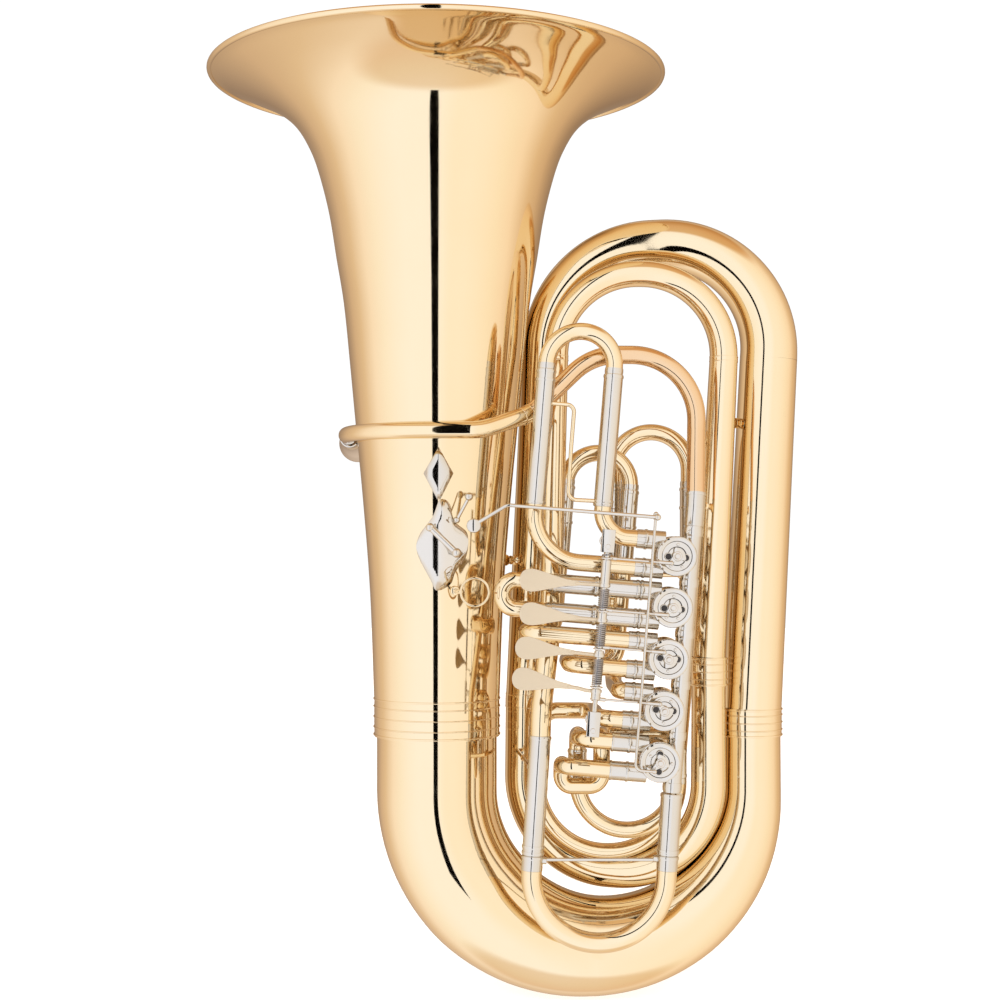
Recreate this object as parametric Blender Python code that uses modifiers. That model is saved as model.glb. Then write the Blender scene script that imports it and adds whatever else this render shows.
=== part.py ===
"""A five-valve rotary tuba, modelled as the separate pieces that a workshop would take apart.

Metres, +Z up. The bell opens upwards. +Y is the player's side and -Y carries the valves and the levers.
The origin is the lowest point of the big bottom bow. The whole valve group sits in a plane that leans a
few degrees, so its pieces are placed in "block" coordinates: x across, y as in the world, z along the group.
"""

import math

import bmesh
import bpy
from mathutils import Matrix, Vector

GAP = 0.0003  # clearance between neighbours that touch on the real instrument
FACET_TURN = math.radians(7)  # keeps the facets of a bar clear of those of a tube on the same axis

# Bell and big bottom bow
BELL_X = -0.1564
BELL_FOOT_Z = 0.2940
BELL_RIM_RADIUS = 0.225
BELL_RIM_Z = 0.9105
BELL_WALL = 0.0010
BOW_X = 0.1550  # half the distance between the legs' centres
BOW_MIDDLE_X = -0.0014
BOW_CENTRE_Z = 0.2040
FERRULE_Z = 0.2570  # lower edge of both ferrules of the bottom bow
BOW_LEG_TOP_Z = 0.2850

# Valve group
BLOCK_ANGLE = math.radians(4.67)
BLOCK_X = 0.0626
BLOCK_Z = 0.3391
VALVE_Y = -0.080
PITCH = 0.0481
PORT_Z = 0.0135  # half the distance between the two ports of one valve
CASING_RADIUS = 0.0187
CASING_FRONT_Y = -0.0968
CASING_BACK_Y = -0.0545
ROTOR_RADIUS = 0.0162
SHAFT_RADIUS = 0.0030
CAP_FRONT_Y = -0.1045
ARM_FRONT_Y = -0.1075
WINDWAY_X = 0.0155
STUB_END = 0.0300
PORT_X = -0.0300
TUBE_START_X = -0.0305
TUBE_RADIUS = 0.0082
SLEEVE_RADIUS = 0.0091
SLEEVE_BORE = 0.0083
INNER_RADIUS = 0.0075
VALVE_Z = [PITCH * (2 - index) for index in range(5)]

# Levers and linkage
HUB_X = -0.0670
HUB_Y = -0.1363
ROD_Y = -0.1105
PIN_RADIUS = 0.00764
HUB_HALF = 0.0028
HUB_END = 0.0010  # how far the hub runs past its crank
CRANK_DROP = (-0.0040, -0.0040, -0.0040, 0.0040)  # from the rod to the crank that pushes it
ROD_LIFT = 0.0068
HUB_RADIUS = 0.0050
AXLE_RADIUS = 0.0024
LEVERS = (  # arm height, side of the rotor axis the rod works on, paddle x and z
    (0.0646, -1, -0.1342, 0.0639),
    (0.0329, -1, -0.1317, 0.0334),
    (0.0011, 1, -0.1331, 0.0021),
    (-0.0319, 1, -0.1337, -0.0261),
)
THUMB_Y = -0.1402
THUMB_Z = 0.1300
THUMB_LINK_X = -0.0243
THUMB_LINK_Y = -0.1205
THUMB_PIN = 0.0064

# Main tuning slide: both legs lean the same way, by this much sideways for each metre down
MAIN_LEAN = 0.0641
MAIN_LEFT = (-0.0560, 0.2660)
MAIN_RIGHT = (0.0677, 0.2115)
MAIN_SLEEVE_END = 0.1535
MAIN_BOW_CENTRE_Z = 0.1380

COLOURS = {  # colour, metallic, roughness
    "brass": ((0.93, 0.70, 0.38), 1.0, 0.12),
    "rose_brass": ((0.90, 0.56, 0.34), 1.0, 0.12),
    "nickel": ((0.80, 0.78, 0.74), 1.0, 0.16),
    "lever_nickel": ((0.84, 0.77, 0.66), 1.0, 0.22),
    "silver": ((0.90, 0.89, 0.87), 1.0, 0.10),
}


def clear_scene():
    for obj in list(bpy.data.objects):
        bpy.data.objects.remove(obj)
    for name in ("tuba", "cutters"):
        collection = bpy.data.collections.new(name)
        bpy.context.scene.collection.children.link(collection)
    bpy.data.collections["cutters"].hide_render = True


def material(finish, name):
    colour, metallic, roughness = COLOURS[finish]
    made = bpy.data.materials.new(name)
    made.use_nodes = True
    shader = made.node_tree.nodes["Principled BSDF"]
    shader.inputs["Base Color"].default_value = (*colour, 1.0)
    shader.inputs["Metallic"].default_value = metallic
    shader.inputs["Roughness"].default_value = roughness
    made.diffuse_color = (*colour, 1.0)
    return made


def evaluated_mesh(obj):
    """The mesh that the object's modifiers or curve make, with its seams closed."""
    bpy.context.view_layer.update()
    graph = bpy.context.evaluated_depsgraph_get()
    mesh = bpy.data.meshes.new_from_object(obj.evaluated_get(graph))
    work = bmesh.new()
    work.from_mesh(mesh)
    bmesh.ops.remove_doubles(work, verts=work.verts, dist=1e-6)
    work.to_mesh(mesh)
    work.free()
    return mesh


def loose(data):
    """A scratch object, which a later step turns into a mesh or uses as a tool."""
    obj = bpy.data.objects.new("scratch", data)
    bpy.data.collections["cutters"].objects.link(obj)
    return obj


def bake(obj):
    """A plain mesh made from the object, which is then removed."""
    mesh = evaluated_mesh(obj)
    bpy.data.objects.remove(obj)
    return mesh


def combine(mesh, others, operation="UNION"):
    """The mesh after a Boolean with each of the others in turn."""
    for other in others:
        target = loose(mesh)
        tool = loose(other)
        boolean = target.modifiers.new("boolean", "BOOLEAN")
        boolean.operation = operation
        boolean.solver = "MANIFOLD"  # EXACT drops coaxial bars that stand exactly upright
        boolean.object = tool
        mesh = bake(target)
        bpy.data.objects.remove(tool)
    return mesh


def add(name, finish, mesh, location=(0, 0, 0), parent=None):
    """A finished piece in the tuba's collection."""
    mesh.name = name
    mesh.materials.clear()
    mesh.materials.append(material(finish, name))
    mesh.shade_smooth()
    mesh.set_sharp_from_angle(angle=math.radians(40))
    obj = bpy.data.objects.new(name, mesh)
    obj.location = location
    obj.parent = parent
    bpy.data.collections["tuba"].objects.link(obj)
    return obj


def block(x, y, z):
    """The world point of block coordinates."""
    across = Vector((math.cos(BLOCK_ANGLE), 0, -math.sin(BLOCK_ANGLE)))
    along = Vector((math.sin(BLOCK_ANGLE), 0, math.cos(BLOCK_ANGLE)))
    return Vector((BLOCK_X, y, BLOCK_Z)) + x * across + z * along


def rounded(corners, step):
    """Points along straight runs joined by arcs. Each corner is (point, bend radius)."""
    places = [Vector(point) for point, _ in corners]
    points = [places[0]]
    for index in range(1, len(places) - 1):
        here = places[index]
        bend = corners[index][1]
        back = (places[index - 1] - here).normalized()
        ahead = (places[index + 1] - here).normalized()
        turn = math.pi - back.angle(ahead)
        start = here + back * bend * math.tan(turn / 2)
        centre = here + (back + ahead).normalized() * bend / math.cos(turn / 2)
        axis = ahead.cross(back).normalized()
        count = max(1, math.ceil(turn / step))
        for number in range(count + 1):
            turned = Matrix.Rotation(turn * number / count, 3, axis) @ (start - centre)
            points.append(centre + turned)
    points.append(places[-1])
    kept = [points[0]]
    for point in points[1:]:
        if (point - kept[-1]).length > 1e-5:
            kept.append(point)
    return kept


def radius_at(share, radii):
    """A radius read from (share of the length, radius) pairs."""
    for (low, first), (high, second) in zip(radii, radii[1:]):
        if share <= high:
            return first + (second - first) * (share - low) / (high - low)
    return radii[-1][1]


def tube(corners, radii, wall=0.0, sides=8, step_deg=34.0):
    """A bent tube. A wall leaves it open at both ends; without one it is a solid bar."""
    points = rounded(corners, math.radians(step_deg))
    if isinstance(radii, float):
        radii = [(0.0, radii), (1.0, radii)]
    lengths = [0.0]
    for first, second in zip(points, points[1:]):
        lengths.append(lengths[-1] + (second - first).length)
    curve = bpy.data.curves.new("tube", "CURVE")
    curve.dimensions = "3D"
    curve.bevel_depth = 1.0
    curve.bevel_resolution = (sides - 4) // 2
    curve.use_fill_caps = not wall
    spline = curve.splines.new("POLY")
    spline.points.add(len(points) - 1)
    for target, point, length in zip(spline.points, points, lengths):
        target.co = (*point, 1.0)
        target.radius = radius_at(length / lengths[-1], radii)
    mesh = bake(loose(curve))
    if wall:
        shell = loose(mesh)
        solidify = shell.modifiers.new("wall", "SOLIDIFY")
        solidify.thickness = wall
        solidify.offset = -1.0
        solidify.use_even_offset = True
        mesh = bake(shell)
    return mesh


def rod(start, end, radius, segments=12, end_radius=None):
    """A straight bar between two points."""
    start = Vector(start)
    end = Vector(end)
    along = end - start
    turn = along.to_track_quat("Z", "Y").to_matrix().to_4x4() @ Matrix.Rotation(FACET_TURN, 4, "Z")
    place = Matrix.Translation((start + end) / 2) @ turn
    work = bmesh.new()
    bmesh.ops.create_cone(
        work,
        cap_ends=True,
        segments=segments,
        radius1=radius,
        radius2=radius if end_radius is None else end_radius,
        depth=along.length,
        matrix=place,
    )
    mesh = bpy.data.meshes.new("rod")
    work.to_mesh(mesh)
    work.free()
    return mesh


def box(low, high):
    low = Vector(low)
    high = Vector(high)
    work = bmesh.new()
    bmesh.ops.create_cube(work, size=1.0)
    bmesh.ops.scale(work, vec=high - low, verts=work.verts)
    bmesh.ops.translate(work, vec=(low + high) / 2, verts=work.verts)
    mesh = bpy.data.meshes.new("box")
    work.to_mesh(mesh)
    work.free()
    return mesh


def turned(profile, steps):
    """A solid of revolution about Z. The closed profile of (radius, z) runs down its outer side first."""
    work = bmesh.new()
    corners = [work.verts.new((radius, 0, z)) for radius, z in profile]
    for first, second in zip(corners, corners[1:] + corners[:1]):
        work.edges.new((first, second))
    mesh = bpy.data.meshes.new("profile")
    work.to_mesh(mesh)
    work.free()
    obj = loose(mesh)
    screw = obj.modifiers.new("turn", "SCREW")
    screw.axis = "Z"
    screw.steps = steps
    screw.render_steps = steps
    screw.use_merge_vertices = True
    screw.merge_threshold = 0.00001
    return bake(obj)


def ring(outer, inner, low, high, steps=16):
    return turned([(outer, high), (outer, low), (inner, low), (inner, high)], steps)


def slab(outline, low_y, high_y):
    """A flat outline of (x, z) points, extruded along Y."""
    curve = bpy.data.curves.new("outline", "CURVE")
    curve.dimensions = "2D"
    curve.fill_mode = "BOTH"
    curve.extrude = (high_y - low_y) / 2
    spline = curve.splines.new("POLY")
    spline.use_cyclic_u = True
    spline.points.add(len(outline) - 1)
    for target, (x, z) in zip(spline.points, outline):
        target.co = (x, z, 0.0, 1.0)
    mesh = bake(loose(curve))
    stand_up = Matrix.Rotation(math.pi / 2, 4, "X")
    mesh.transform(Matrix.Translation((0, (low_y + high_y) / 2, 0)) @ stand_up)
    return mesh


def moved(mesh, offset):
    mesh.transform(Matrix.Translation(offset))
    return mesh


BELL_OUTLINE = (  # height, outer radius of the stem and the flare
    (BELL_FOOT_Z, 0.0620),
    (0.3985, 0.0660),
    (0.4896, 0.0730),
    (0.5698, 0.0807),
    (0.6213, 0.0855),
    (0.6817, 0.0916),
    (0.7272, 0.0990),
    (0.7728, 0.1065),
    (0.8153, 0.1175),
    (0.8400, 0.1275),
    (0.8600, 0.1402),
    (0.8758, 0.1575),
    (0.8895, 0.1805),
    (0.9020, 0.2090),
)
RIM_BEAD_RADIUS = 0.0030
BELL_FACETS = 28


def bell():
    """The one-piece stem and flare, with the wire bead rolled into its rim."""
    bead_r = BELL_RIM_RADIUS - RIM_BEAD_RADIUS
    bead_z = BELL_RIM_Z - RIM_BEAD_RADIUS
    bead = []
    for number in range(5):
        angle = math.radians(135 - 67.5 * number)
        bead.append(
            (bead_r + RIM_BEAD_RADIUS * math.cos(angle), bead_z + RIM_BEAD_RADIUS * math.sin(angle))
        )
    outer = [(radius, z) for z, radius in reversed(BELL_OUTLINE)]
    inner = [(radius - BELL_WALL, z + BELL_WALL * (z > 0.8)) for z, radius in BELL_OUTLINE]
    mesh = turned(bead + outer + inner, BELL_FACETS)
    add("bell", "brass", moved(mesh, (BELL_X, 0, 0)))


BOTTOM_BOW_RADII = [  # share of the bow's length from the bell, outer radius
    (0.00, 0.0592),
    (0.14, 0.0592),
    (0.32, 0.0580),
    (0.50, 0.0495),
    (0.66, 0.0424),
    (0.76, 0.0364),
    (0.87, 0.0298),
    (1.00, 0.0293),
]


def big_bow():
    """The bottom bow and the ferrules that join its two legs to the bell and to the first branch."""
    left_x, right_x = BOW_MIDDLE_X - BOW_X, BOW_MIDDLE_X + BOW_X
    corners = (
        ((left_x, 0, BELL_FOOT_Z - GAP), 0),
        ((left_x, 0, BOW_CENTRE_Z - BOW_X), BOW_X - 0.0001),
        ((right_x, 0, BOW_CENTRE_Z - BOW_X), BOW_X - 0.0001),
        ((right_x, 0, BOW_LEG_TOP_Z - 0.0010), 0),
    )
    add("bottom_bow", "brass", tube(corners, BOTTOM_BOW_RADII, wall=0.0010, sides=20, step_deg=15))
    left = ring(0.0625, 0.0599, FERRULE_Z, BELL_FOOT_Z - GAP, 28)
    add("bell_ferrule", "brass", moved(left, (left_x, 0, 0)))
    right = ring(0.0316, 0.0301, FERRULE_Z, BOW_LEG_TOP_Z, 20)
    add("bottom_bow_ferrule", "brass", moved(right, (right_x, 0, 0)))


OUTER_FOOT_X = 0.1548
FOOT_GAP = 0.0022  # the branch leans, so its foot clears the ferrule by this much at the axis
OUTER_TOP = (0.1716, 0.0, 0.6280)
BACK_TOP = (-0.0505, 0.035, 0.6312)
BACK_FOOT = (-0.0697, 0.035, 0.2883)
INNER_FOOT = (0.1094, -0.0235, 0.3360)
INNER_TOP = (0.1246, -0.020, 0.6265)
FRONT_TOP = (-0.0393, -0.020, 0.6275)
BRANCH_WALL = 0.0009
SLANT_GAP = 0.0014  # between two ends that meet at a slight angle


def lifted(point, amount):
    return (point[0], point[1], point[2] + amount)


def main_branches():
    """The conical tubing from the bottom bow back to the main tuning slide, in the order of the windway."""
    first = (((OUTER_FOOT_X, 0, BOW_LEG_TOP_Z + FOOT_GAP), 0), (OUTER_TOP, 0))
    add("outer_branch", "brass", tube(first, [(0, 0.0294), (1, 0.0282)], BRANCH_WALL, 16))
    top = (
        (lifted(OUTER_TOP, SLANT_GAP), 0),
        ((0.1764, 0.000, 0.7452), 0.1070),
        ((-0.0443, 0.035, 0.7452), 0.1075),
        (lifted(BACK_TOP, GAP), 0),
    )
    add("outer_top_bow", "brass", tube(top, [(0, 0.0282), (1, 0.0215)], BRANCH_WALL, 16, 18))
    back = ((BACK_TOP, 0), (BACK_FOOT, 0))
    add("back_branch", "brass", tube(back, [(0, 0.0215), (1, 0.0185)], BRANCH_WALL, 12))
    inner = (
        (lifted(BACK_FOOT, -SLANT_GAP), 0),
        ((-0.0720, 0.033, 0.1230), 0.0900),
        ((0.1094, -0.0235, 0.1230), 0.0900),
        (INNER_FOOT, 0),
    )
    inner_radii = [(0, 0.0185), (0.8, 0.0170), (1, 0.0160)]
    add("inner_bottom_bow", "brass", tube(inner, inner_radii, BRANCH_WALL, 10, 22.5))
    ferrule = ring(0.0190, 0.0174, 0.3080, INNER_FOOT[2], 16)
    add("inner_ferrule", "brass", moved(ferrule, (INNER_FOOT[0], INNER_FOOT[1], 0)))
    rise = ((lifted(INNER_FOOT, SLANT_GAP), 0), (INNER_TOP, 0))
    add("inner_branch", "brass", tube(rise, [(0, 0.0162), (1, 0.0137)], BRANCH_WALL, 12))
    over = (
        (lifted(INNER_TOP, SLANT_GAP), 0),
        ((0.1246, -0.020, 0.7102), 0.0780),
        ((-0.0393, -0.020, 0.7102), 0.0780),
        (lifted(FRONT_TOP, SLANT_GAP), 0),
    )
    add("inner_top_bow", "brass", tube(over, [(0, 0.0135), (1, 0.0120)], BRANCH_WALL, 10, 22.5))
    down = (
        (FRONT_TOP, 0),
        ((-0.0450, -0.050, 0.3732), 0.2),
        ((-0.0553, -0.080, 0.2900), 0.06),
        ((MAIN_LEFT[0], VALVE_Y, MAIN_LEFT[1] + 2 * GAP), 0),
    )
    add("front_branch", "brass", tube(down, [(0, 0.0120), (1, 0.0100)], BRANCH_WALL, 10, 22.5))


MOUTH_X = -0.2456
MOUTH_Z = 0.5530
RECEIVER_Y = (0.0300, 0.0660)
MOUTHPIECE_Y = (0.0450, 0.1350)
RIM_RADIUS = 0.0200


def leadpipe_group():
    """The mouthpiece, the receiver that holds it, and the leadpipe round the bell to the first valve."""
    end = block(WINDWAY_X, VALVE_Y, VALVE_Z[0] + STUB_END + 2 * GAP)
    corners = (
        ((MOUTH_X, RECEIVER_Y[0] - GAP, MOUTH_Z), 0),
        ((MOUTH_X, -0.0904, MOUTH_Z), 0.0888),
        ((-0.1120, -0.0904, MOUTH_Z), 0.030),
        ((-0.0640, -0.0590, 0.5710), 0.030),
        ((-0.0060, -0.0580, 0.6270), 0.060),
        ((0.0945, -0.0580, 0.6265), 0.062),
        ((0.0935, -0.0580, 0.5580), 0.040),
        (block(WINDWAY_X, VALVE_Y, 0.1500), 0.040),
        (end, 0),
    )
    add("leadpipe", "rose_brass", tube(corners, [(0, 0.0076), (0.5, 0.0085), (1, 0.0087)]))
    back, front = RECEIVER_Y
    receiver = ring(0.0100, 0.0086, back, front, 16)
    mouthpiece = turned(
        [
            (0.0180, MOUTHPIECE_Y[1]),
            (RIM_RADIUS, MOUTHPIECE_Y[1] - 0.0020),
            (RIM_RADIUS, MOUTHPIECE_Y[1] - 0.0060),
            (0.0175, MOUTHPIECE_Y[1] - 0.0200),
            (0.0100, MOUTHPIECE_Y[1] - 0.0380),
            (0.0082, 0.0700),
            (0.0078, MOUTHPIECE_Y[0]),
            (0.0050, MOUTHPIECE_Y[0]),
            (0.0042, 0.0950),
            (0.0130, 0.1140),
            (0.0162, MOUTHPIECE_Y[1] - 0.0020),
        ],
        14,
    )
    lie_down = Matrix.Rotation(-math.pi / 2, 4, "X")
    for mesh in (receiver, mouthpiece):
        mesh.transform(Matrix.Translation((MOUTH_X, 0, MOUTH_Z)) @ lie_down)
    add("mouthpiece_receiver", "nickel", receiver)
    add("mouthpiece", "silver", mouthpiece)


def casing_mesh(up, down):
    """A valve casing: an open-fronted cup with two ports on the left and the windway's two stubs."""
    body = rod((0, CASING_FRONT_Y, 0), (0, CASING_BACK_Y, 0), CASING_RADIUS, 16)
    bore = rod((0, CASING_FRONT_Y - 0.01, 0), (0, CASING_BACK_Y - 0.0030, 0), ROTOR_RADIUS + 0.0005, 16)
    arms = [
        rod((-0.0120, VALVE_Y, side * PORT_Z), (PORT_X, VALVE_Y, side * PORT_Z), SLEEVE_RADIUS, 8)
        for side in (-1, 1)
    ]
    windway = rod((WINDWAY_X, VALVE_Y, -down), (WINDWAY_X, VALVE_Y, up), 0.0083, 8)
    return combine(combine(body, [*arms, windway]), [bore], "DIFFERENCE")


def rotor_mesh(pin_x, pin_z, pin_front_y):
    """A rotor with its two side channels, its shaft, and the stop arm that the linkage turns."""
    body = rod((0, CASING_FRONT_Y + GAP, 0), (0, CASING_BACK_Y - 0.0034, 0), ROTOR_RADIUS, 16)
    channels = [
        rod((side * 0.0125, VALVE_Y, -0.03), (side * 0.0125, VALVE_Y, 0.03), 0.0072, 8)
        for side in (-1, 1)
    ]
    body = combine(body, channels, "DIFFERENCE")
    shaft = rod((0, CASING_FRONT_Y + 0.002, 0), (0, ARM_FRONT_Y, 0), SHAFT_RADIUS, 10)
    reach = math.hypot(pin_x, pin_z)
    arm = box((-0.0022, ARM_FRONT_Y, -0.0030), (0.0022, ARM_FRONT_Y + 0.0020, reach + 0.0020))
    arm.transform(Matrix.Rotation(math.atan2(pin_x, pin_z), 4, "Y"))
    pin = rod((pin_x, ARM_FRONT_Y + 0.001, pin_z), (pin_x, pin_front_y, pin_z), 0.0014, 8)
    return combine(body, [shaft, arm, pin])


def valves(parent):
    low, high = CAP_FRONT_Y, CASING_FRONT_Y - 0.0004
    cap = ring(CASING_RADIUS, SHAFT_RADIUS + 0.0006, low, high, 16)
    cap.transform(Matrix.Rotation(-math.pi / 2, 4, "X"))
    half = PITCH / 2 - GAP / 2
    start = PIN_RADIUS * math.sqrt(0.5)
    for index, z in enumerate(VALVE_Z):
        number = index + 1
        casing = casing_mesh(STUB_END if index == 0 else half, STUB_END if index == 4 else half)
        add(f"valve_casing_{number}", "nickel", casing, (0, 0, z), parent)
        add(f"valve_cap_{number}", "nickel", cap.copy(), (0, 0, z), parent)
        if index < len(LEVERS):
            rotor = rotor_mesh(-start, LEVERS[index][1] * start, ROD_Y + 0.0019)
        else:
            rotor = rotor_mesh(-THUMB_PIN, -THUMB_PIN, THUMB_LINK_Y + 0.0020)
        add(f"rotor_{number}", "nickel", rotor, (0, 0, z), parent)


def sleeve_tube(corners, end, along):
    """A solid tube that ends in an open sleeve reaching from the last corner to end."""
    bar = tube(corners, TUBE_RADIUS)
    last = Vector(corners[-1][0])
    end = Vector(end)
    way = (end - last).normalized()
    sleeve = rod(last - way * 0.002, end, SLEEVE_RADIUS, 10)
    bore = rod(end - way * along, end + way * 0.005, SLEEVE_BORE, 10)
    return combine(combine(bar, [sleeve]), [bore], "DIFFERENCE")


def slide_bow(left, right, top_left, top_right, inner, straight=0.0025):
    """A tuning slide: two inner legs, and the half-round bow that joins them after a straight stretch."""
    left, right = Vector(left), Vector(right)
    top_left, top_right = Vector(top_left), Vector(top_right)
    half = (top_right - top_left).length / 2
    way = (top_left - left).normalized()
    bow = tube(
        (
            (top_left, 0),
            (top_left + way * (straight + half), half * 0.999),
            (top_right + way * (straight + half), half * 0.999),
            (top_right, 0),
        ),
        TUBE_RADIUS,
    )
    legs = [
        rod(left, top_left + way * 0.002, inner, 10),
        rod(right, top_right + way * 0.002, inner, 10),
    ]
    return combine(bow, legs)


def brace(first, second, radius=0.0022):
    return rod(first, second, radius, 8)


SLIDE_1_X = (-0.1345, -0.0710)
SLIDE_1_TOP = 0.2620
SLIDE_2_END = -0.1120
SLIDE_3_X = (-0.1050, -0.0420)
SLIDE_3_Y = -0.0100
SLIDE_3_TOP = 0.1570
SLIDE_4_X = (0.0185, 0.0942)
SLIDE_4_Y = 0.0120
SLIDE_4_TOP = 0.5025
SLIDE_5_X = (-0.0192, 0.0775)
SLIDE_5_Y = -0.0350
SLIDE_5_FOOT = 0.2200
LOOP_4_X = (-0.0576, 0.0812)
LOOP_4_Y = -0.0120
LOOP_4_FOOT = 0.1443


def first_valve_tubing():
    top, foot = VALVE_Z[0] + PORT_Z, VALVE_Z[0] - PORT_Z
    left, right = SLIDE_1_X
    near = sleeve_tube(
        (
            (block(TUBE_START_X, VALVE_Y, top), 0),
            (block(right, VALVE_Y, top), 0.0250),
            (block(right, VALVE_Y, top + 0.0280), 0),
        ),
        block(right, VALVE_Y, SLIDE_1_TOP),
        0.0700,
    )
    far = sleeve_tube(
        (
            (block(TUBE_START_X, VALVE_Y, foot), 0),
            (block(left, VALVE_Y, foot), 0.0450),
            (block(left, VALVE_Y, foot + 0.0520), 0),
        ),
        block(left, VALVE_Y, SLIDE_1_TOP),
        0.0700,
    )
    tie = brace(block(left, VALVE_Y, 0.1700), block(right, VALVE_Y, 0.1700))
    add("valve_1_tubing", "brass", combine(near, [far, tie]))
    insert, gap = SLIDE_1_TOP - 0.0600, SLIDE_1_TOP + GAP
    slide = slide_bow(
        block(left, VALVE_Y, insert),
        block(right, VALVE_Y, insert),
        block(left, VALVE_Y, gap),
        block(right, VALVE_Y, gap),
        INNER_RADIUS,
        0.0063,
    )
    add("valve_slide_1", "brass", slide)


def second_valve_tubing():
    rows = []
    for side in (1, -1):
        z = VALVE_Z[1] + side * PORT_Z
        rows.append(
            sleeve_tube(
                ((block(TUBE_START_X, VALVE_Y, z), 0), (block(-0.0500, VALVE_Y, z), 0)),
                block(SLIDE_2_END, VALVE_Y, z),
                0.0450,
            )
        )
    upper, lower = VALVE_Z[1] + PORT_Z, VALVE_Z[1] - PORT_Z
    tie = brace(block(-0.0550, VALVE_Y, upper), block(-0.0550, VALVE_Y, lower))
    add("valve_2_tubing", "brass", combine(rows[0], [rows[1], tie]))
    insert, gap = SLIDE_2_END + 0.0360, SLIDE_2_END - GAP
    bow_start = SLIDE_2_END - 0.0335
    legs = [
        rod(block(insert, VALVE_Y, z), block(gap - 0.002, VALVE_Y, z), INNER_RADIUS, 10)
        for z in (upper, lower)
    ]
    bow = tube(
        (
            (block(gap, VALVE_Y, upper), 0),
            (block(bow_start - PORT_Z, VALVE_Y, upper), PORT_Z * 0.995),
            (block(bow_start - PORT_Z, VALVE_Y, lower), PORT_Z * 0.995),
            (block(gap, VALVE_Y, lower), 0),
        ),
        TUBE_RADIUS,
    )
    add("valve_slide_2", "brass", combine(bow, legs))


def third_valve_tubing():
    top, foot = VALVE_Z[2] + PORT_Z, VALVE_Z[2] - PORT_Z
    left, right = SLIDE_3_X
    far_turn_x, near_turn_x = -0.1320, -0.0900
    near = sleeve_tube(
        (
            (block(TUBE_START_X, VALVE_Y, foot), 0),
            (block(near_turn_x, VALVE_Y, foot), 0.0140),
            (block(near_turn_x, SLIDE_3_Y, foot), 0.0140),
            (block(right, SLIDE_3_Y, foot), 0.0140),
            (block(right, SLIDE_3_Y, foot + 0.0870), 0),
        ),
        block(right, SLIDE_3_Y, SLIDE_3_TOP),
        0.0540,
    )
    far = sleeve_tube(
        (
            (block(TUBE_START_X, VALVE_Y, top), 0),
            (block(far_turn_x, VALVE_Y, top), 0.0140),
            (block(far_turn_x, SLIDE_3_Y, top), 0.0130),
            (block(left, SLIDE_3_Y, top), 0.0125),
            (block(left, SLIDE_3_Y, top + 0.0600), 0),
        ),
        block(left, SLIDE_3_Y, SLIDE_3_TOP),
        0.0540,
    )
    tie = brace(block(left, SLIDE_3_Y, 0.0600), block(right, SLIDE_3_Y, 0.0600))
    add("valve_3_tubing", "brass", combine(near, [far, tie]))
    insert, gap = SLIDE_3_TOP - 0.0450, SLIDE_3_TOP + GAP
    slide = slide_bow(
        block(left, SLIDE_3_Y, insert),
        block(right, SLIDE_3_Y, insert),
        block(left, SLIDE_3_Y, gap),
        block(right, SLIDE_3_Y, gap),
        INNER_RADIUS,
    )
    add("valve_slide_3", "brass", slide)


def fourth_valve_tubing():
    top, foot = VALVE_Z[3] + PORT_Z, VALVE_Z[3] - PORT_Z
    left, right = SLIDE_4_X
    back = block(-0.0600, LOOP_4_Y, foot)
    near_z = block(-0.0420, VALVE_Y, top).z
    near = sleeve_tube(
        (
            (block(TUBE_START_X, VALVE_Y, top), 0),
            ((left, VALVE_Y, near_z), 0.0098),
            ((left, SLIDE_4_Y, near_z), 0.0200),
            ((left, SLIDE_4_Y, 0.4000), 0),
        ),
        (left, SLIDE_4_Y, SLIDE_4_TOP),
        0.0700,
    )
    half = (LOOP_4_X[1] - LOOP_4_X[0]) / 2
    far = sleeve_tube(
        (
            (block(TUBE_START_X, VALVE_Y, foot), 0),
            (block(-0.0600, VALVE_Y, foot), 0.0150),
            (back, 0.0150),
            ((LOOP_4_X[0], LOOP_4_Y, back.z), 0.0200),
            ((LOOP_4_X[0], LOOP_4_Y, LOOP_4_FOOT), half * 0.98),
            ((LOOP_4_X[1], LOOP_4_Y, LOOP_4_FOOT), half * 0.98),
            ((LOOP_4_X[1], LOOP_4_Y, 0.2400), 0.0500),
            ((right, SLIDE_4_Y, 0.3600), 0.0500),
            ((right, SLIDE_4_Y, 0.4000), 0),
        ),
        (right, SLIDE_4_Y, SLIDE_4_TOP),
        0.0700,
    )
    tie = brace((left, SLIDE_4_Y, 0.4150), (right, SLIDE_4_Y, 0.4150))
    add("valve_4_tubing", "brass", combine(near, [far, tie]))
    insert, gap = SLIDE_4_TOP - 0.0600, SLIDE_4_TOP + GAP
    slide = slide_bow(
        (left, SLIDE_4_Y, insert),
        (right, SLIDE_4_Y, insert),
        (left, SLIDE_4_Y, gap),
        (right, SLIDE_4_Y, gap),
        INNER_RADIUS,
        0.0170,
    )
    add("valve_slide_4", "brass", slide)


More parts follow.
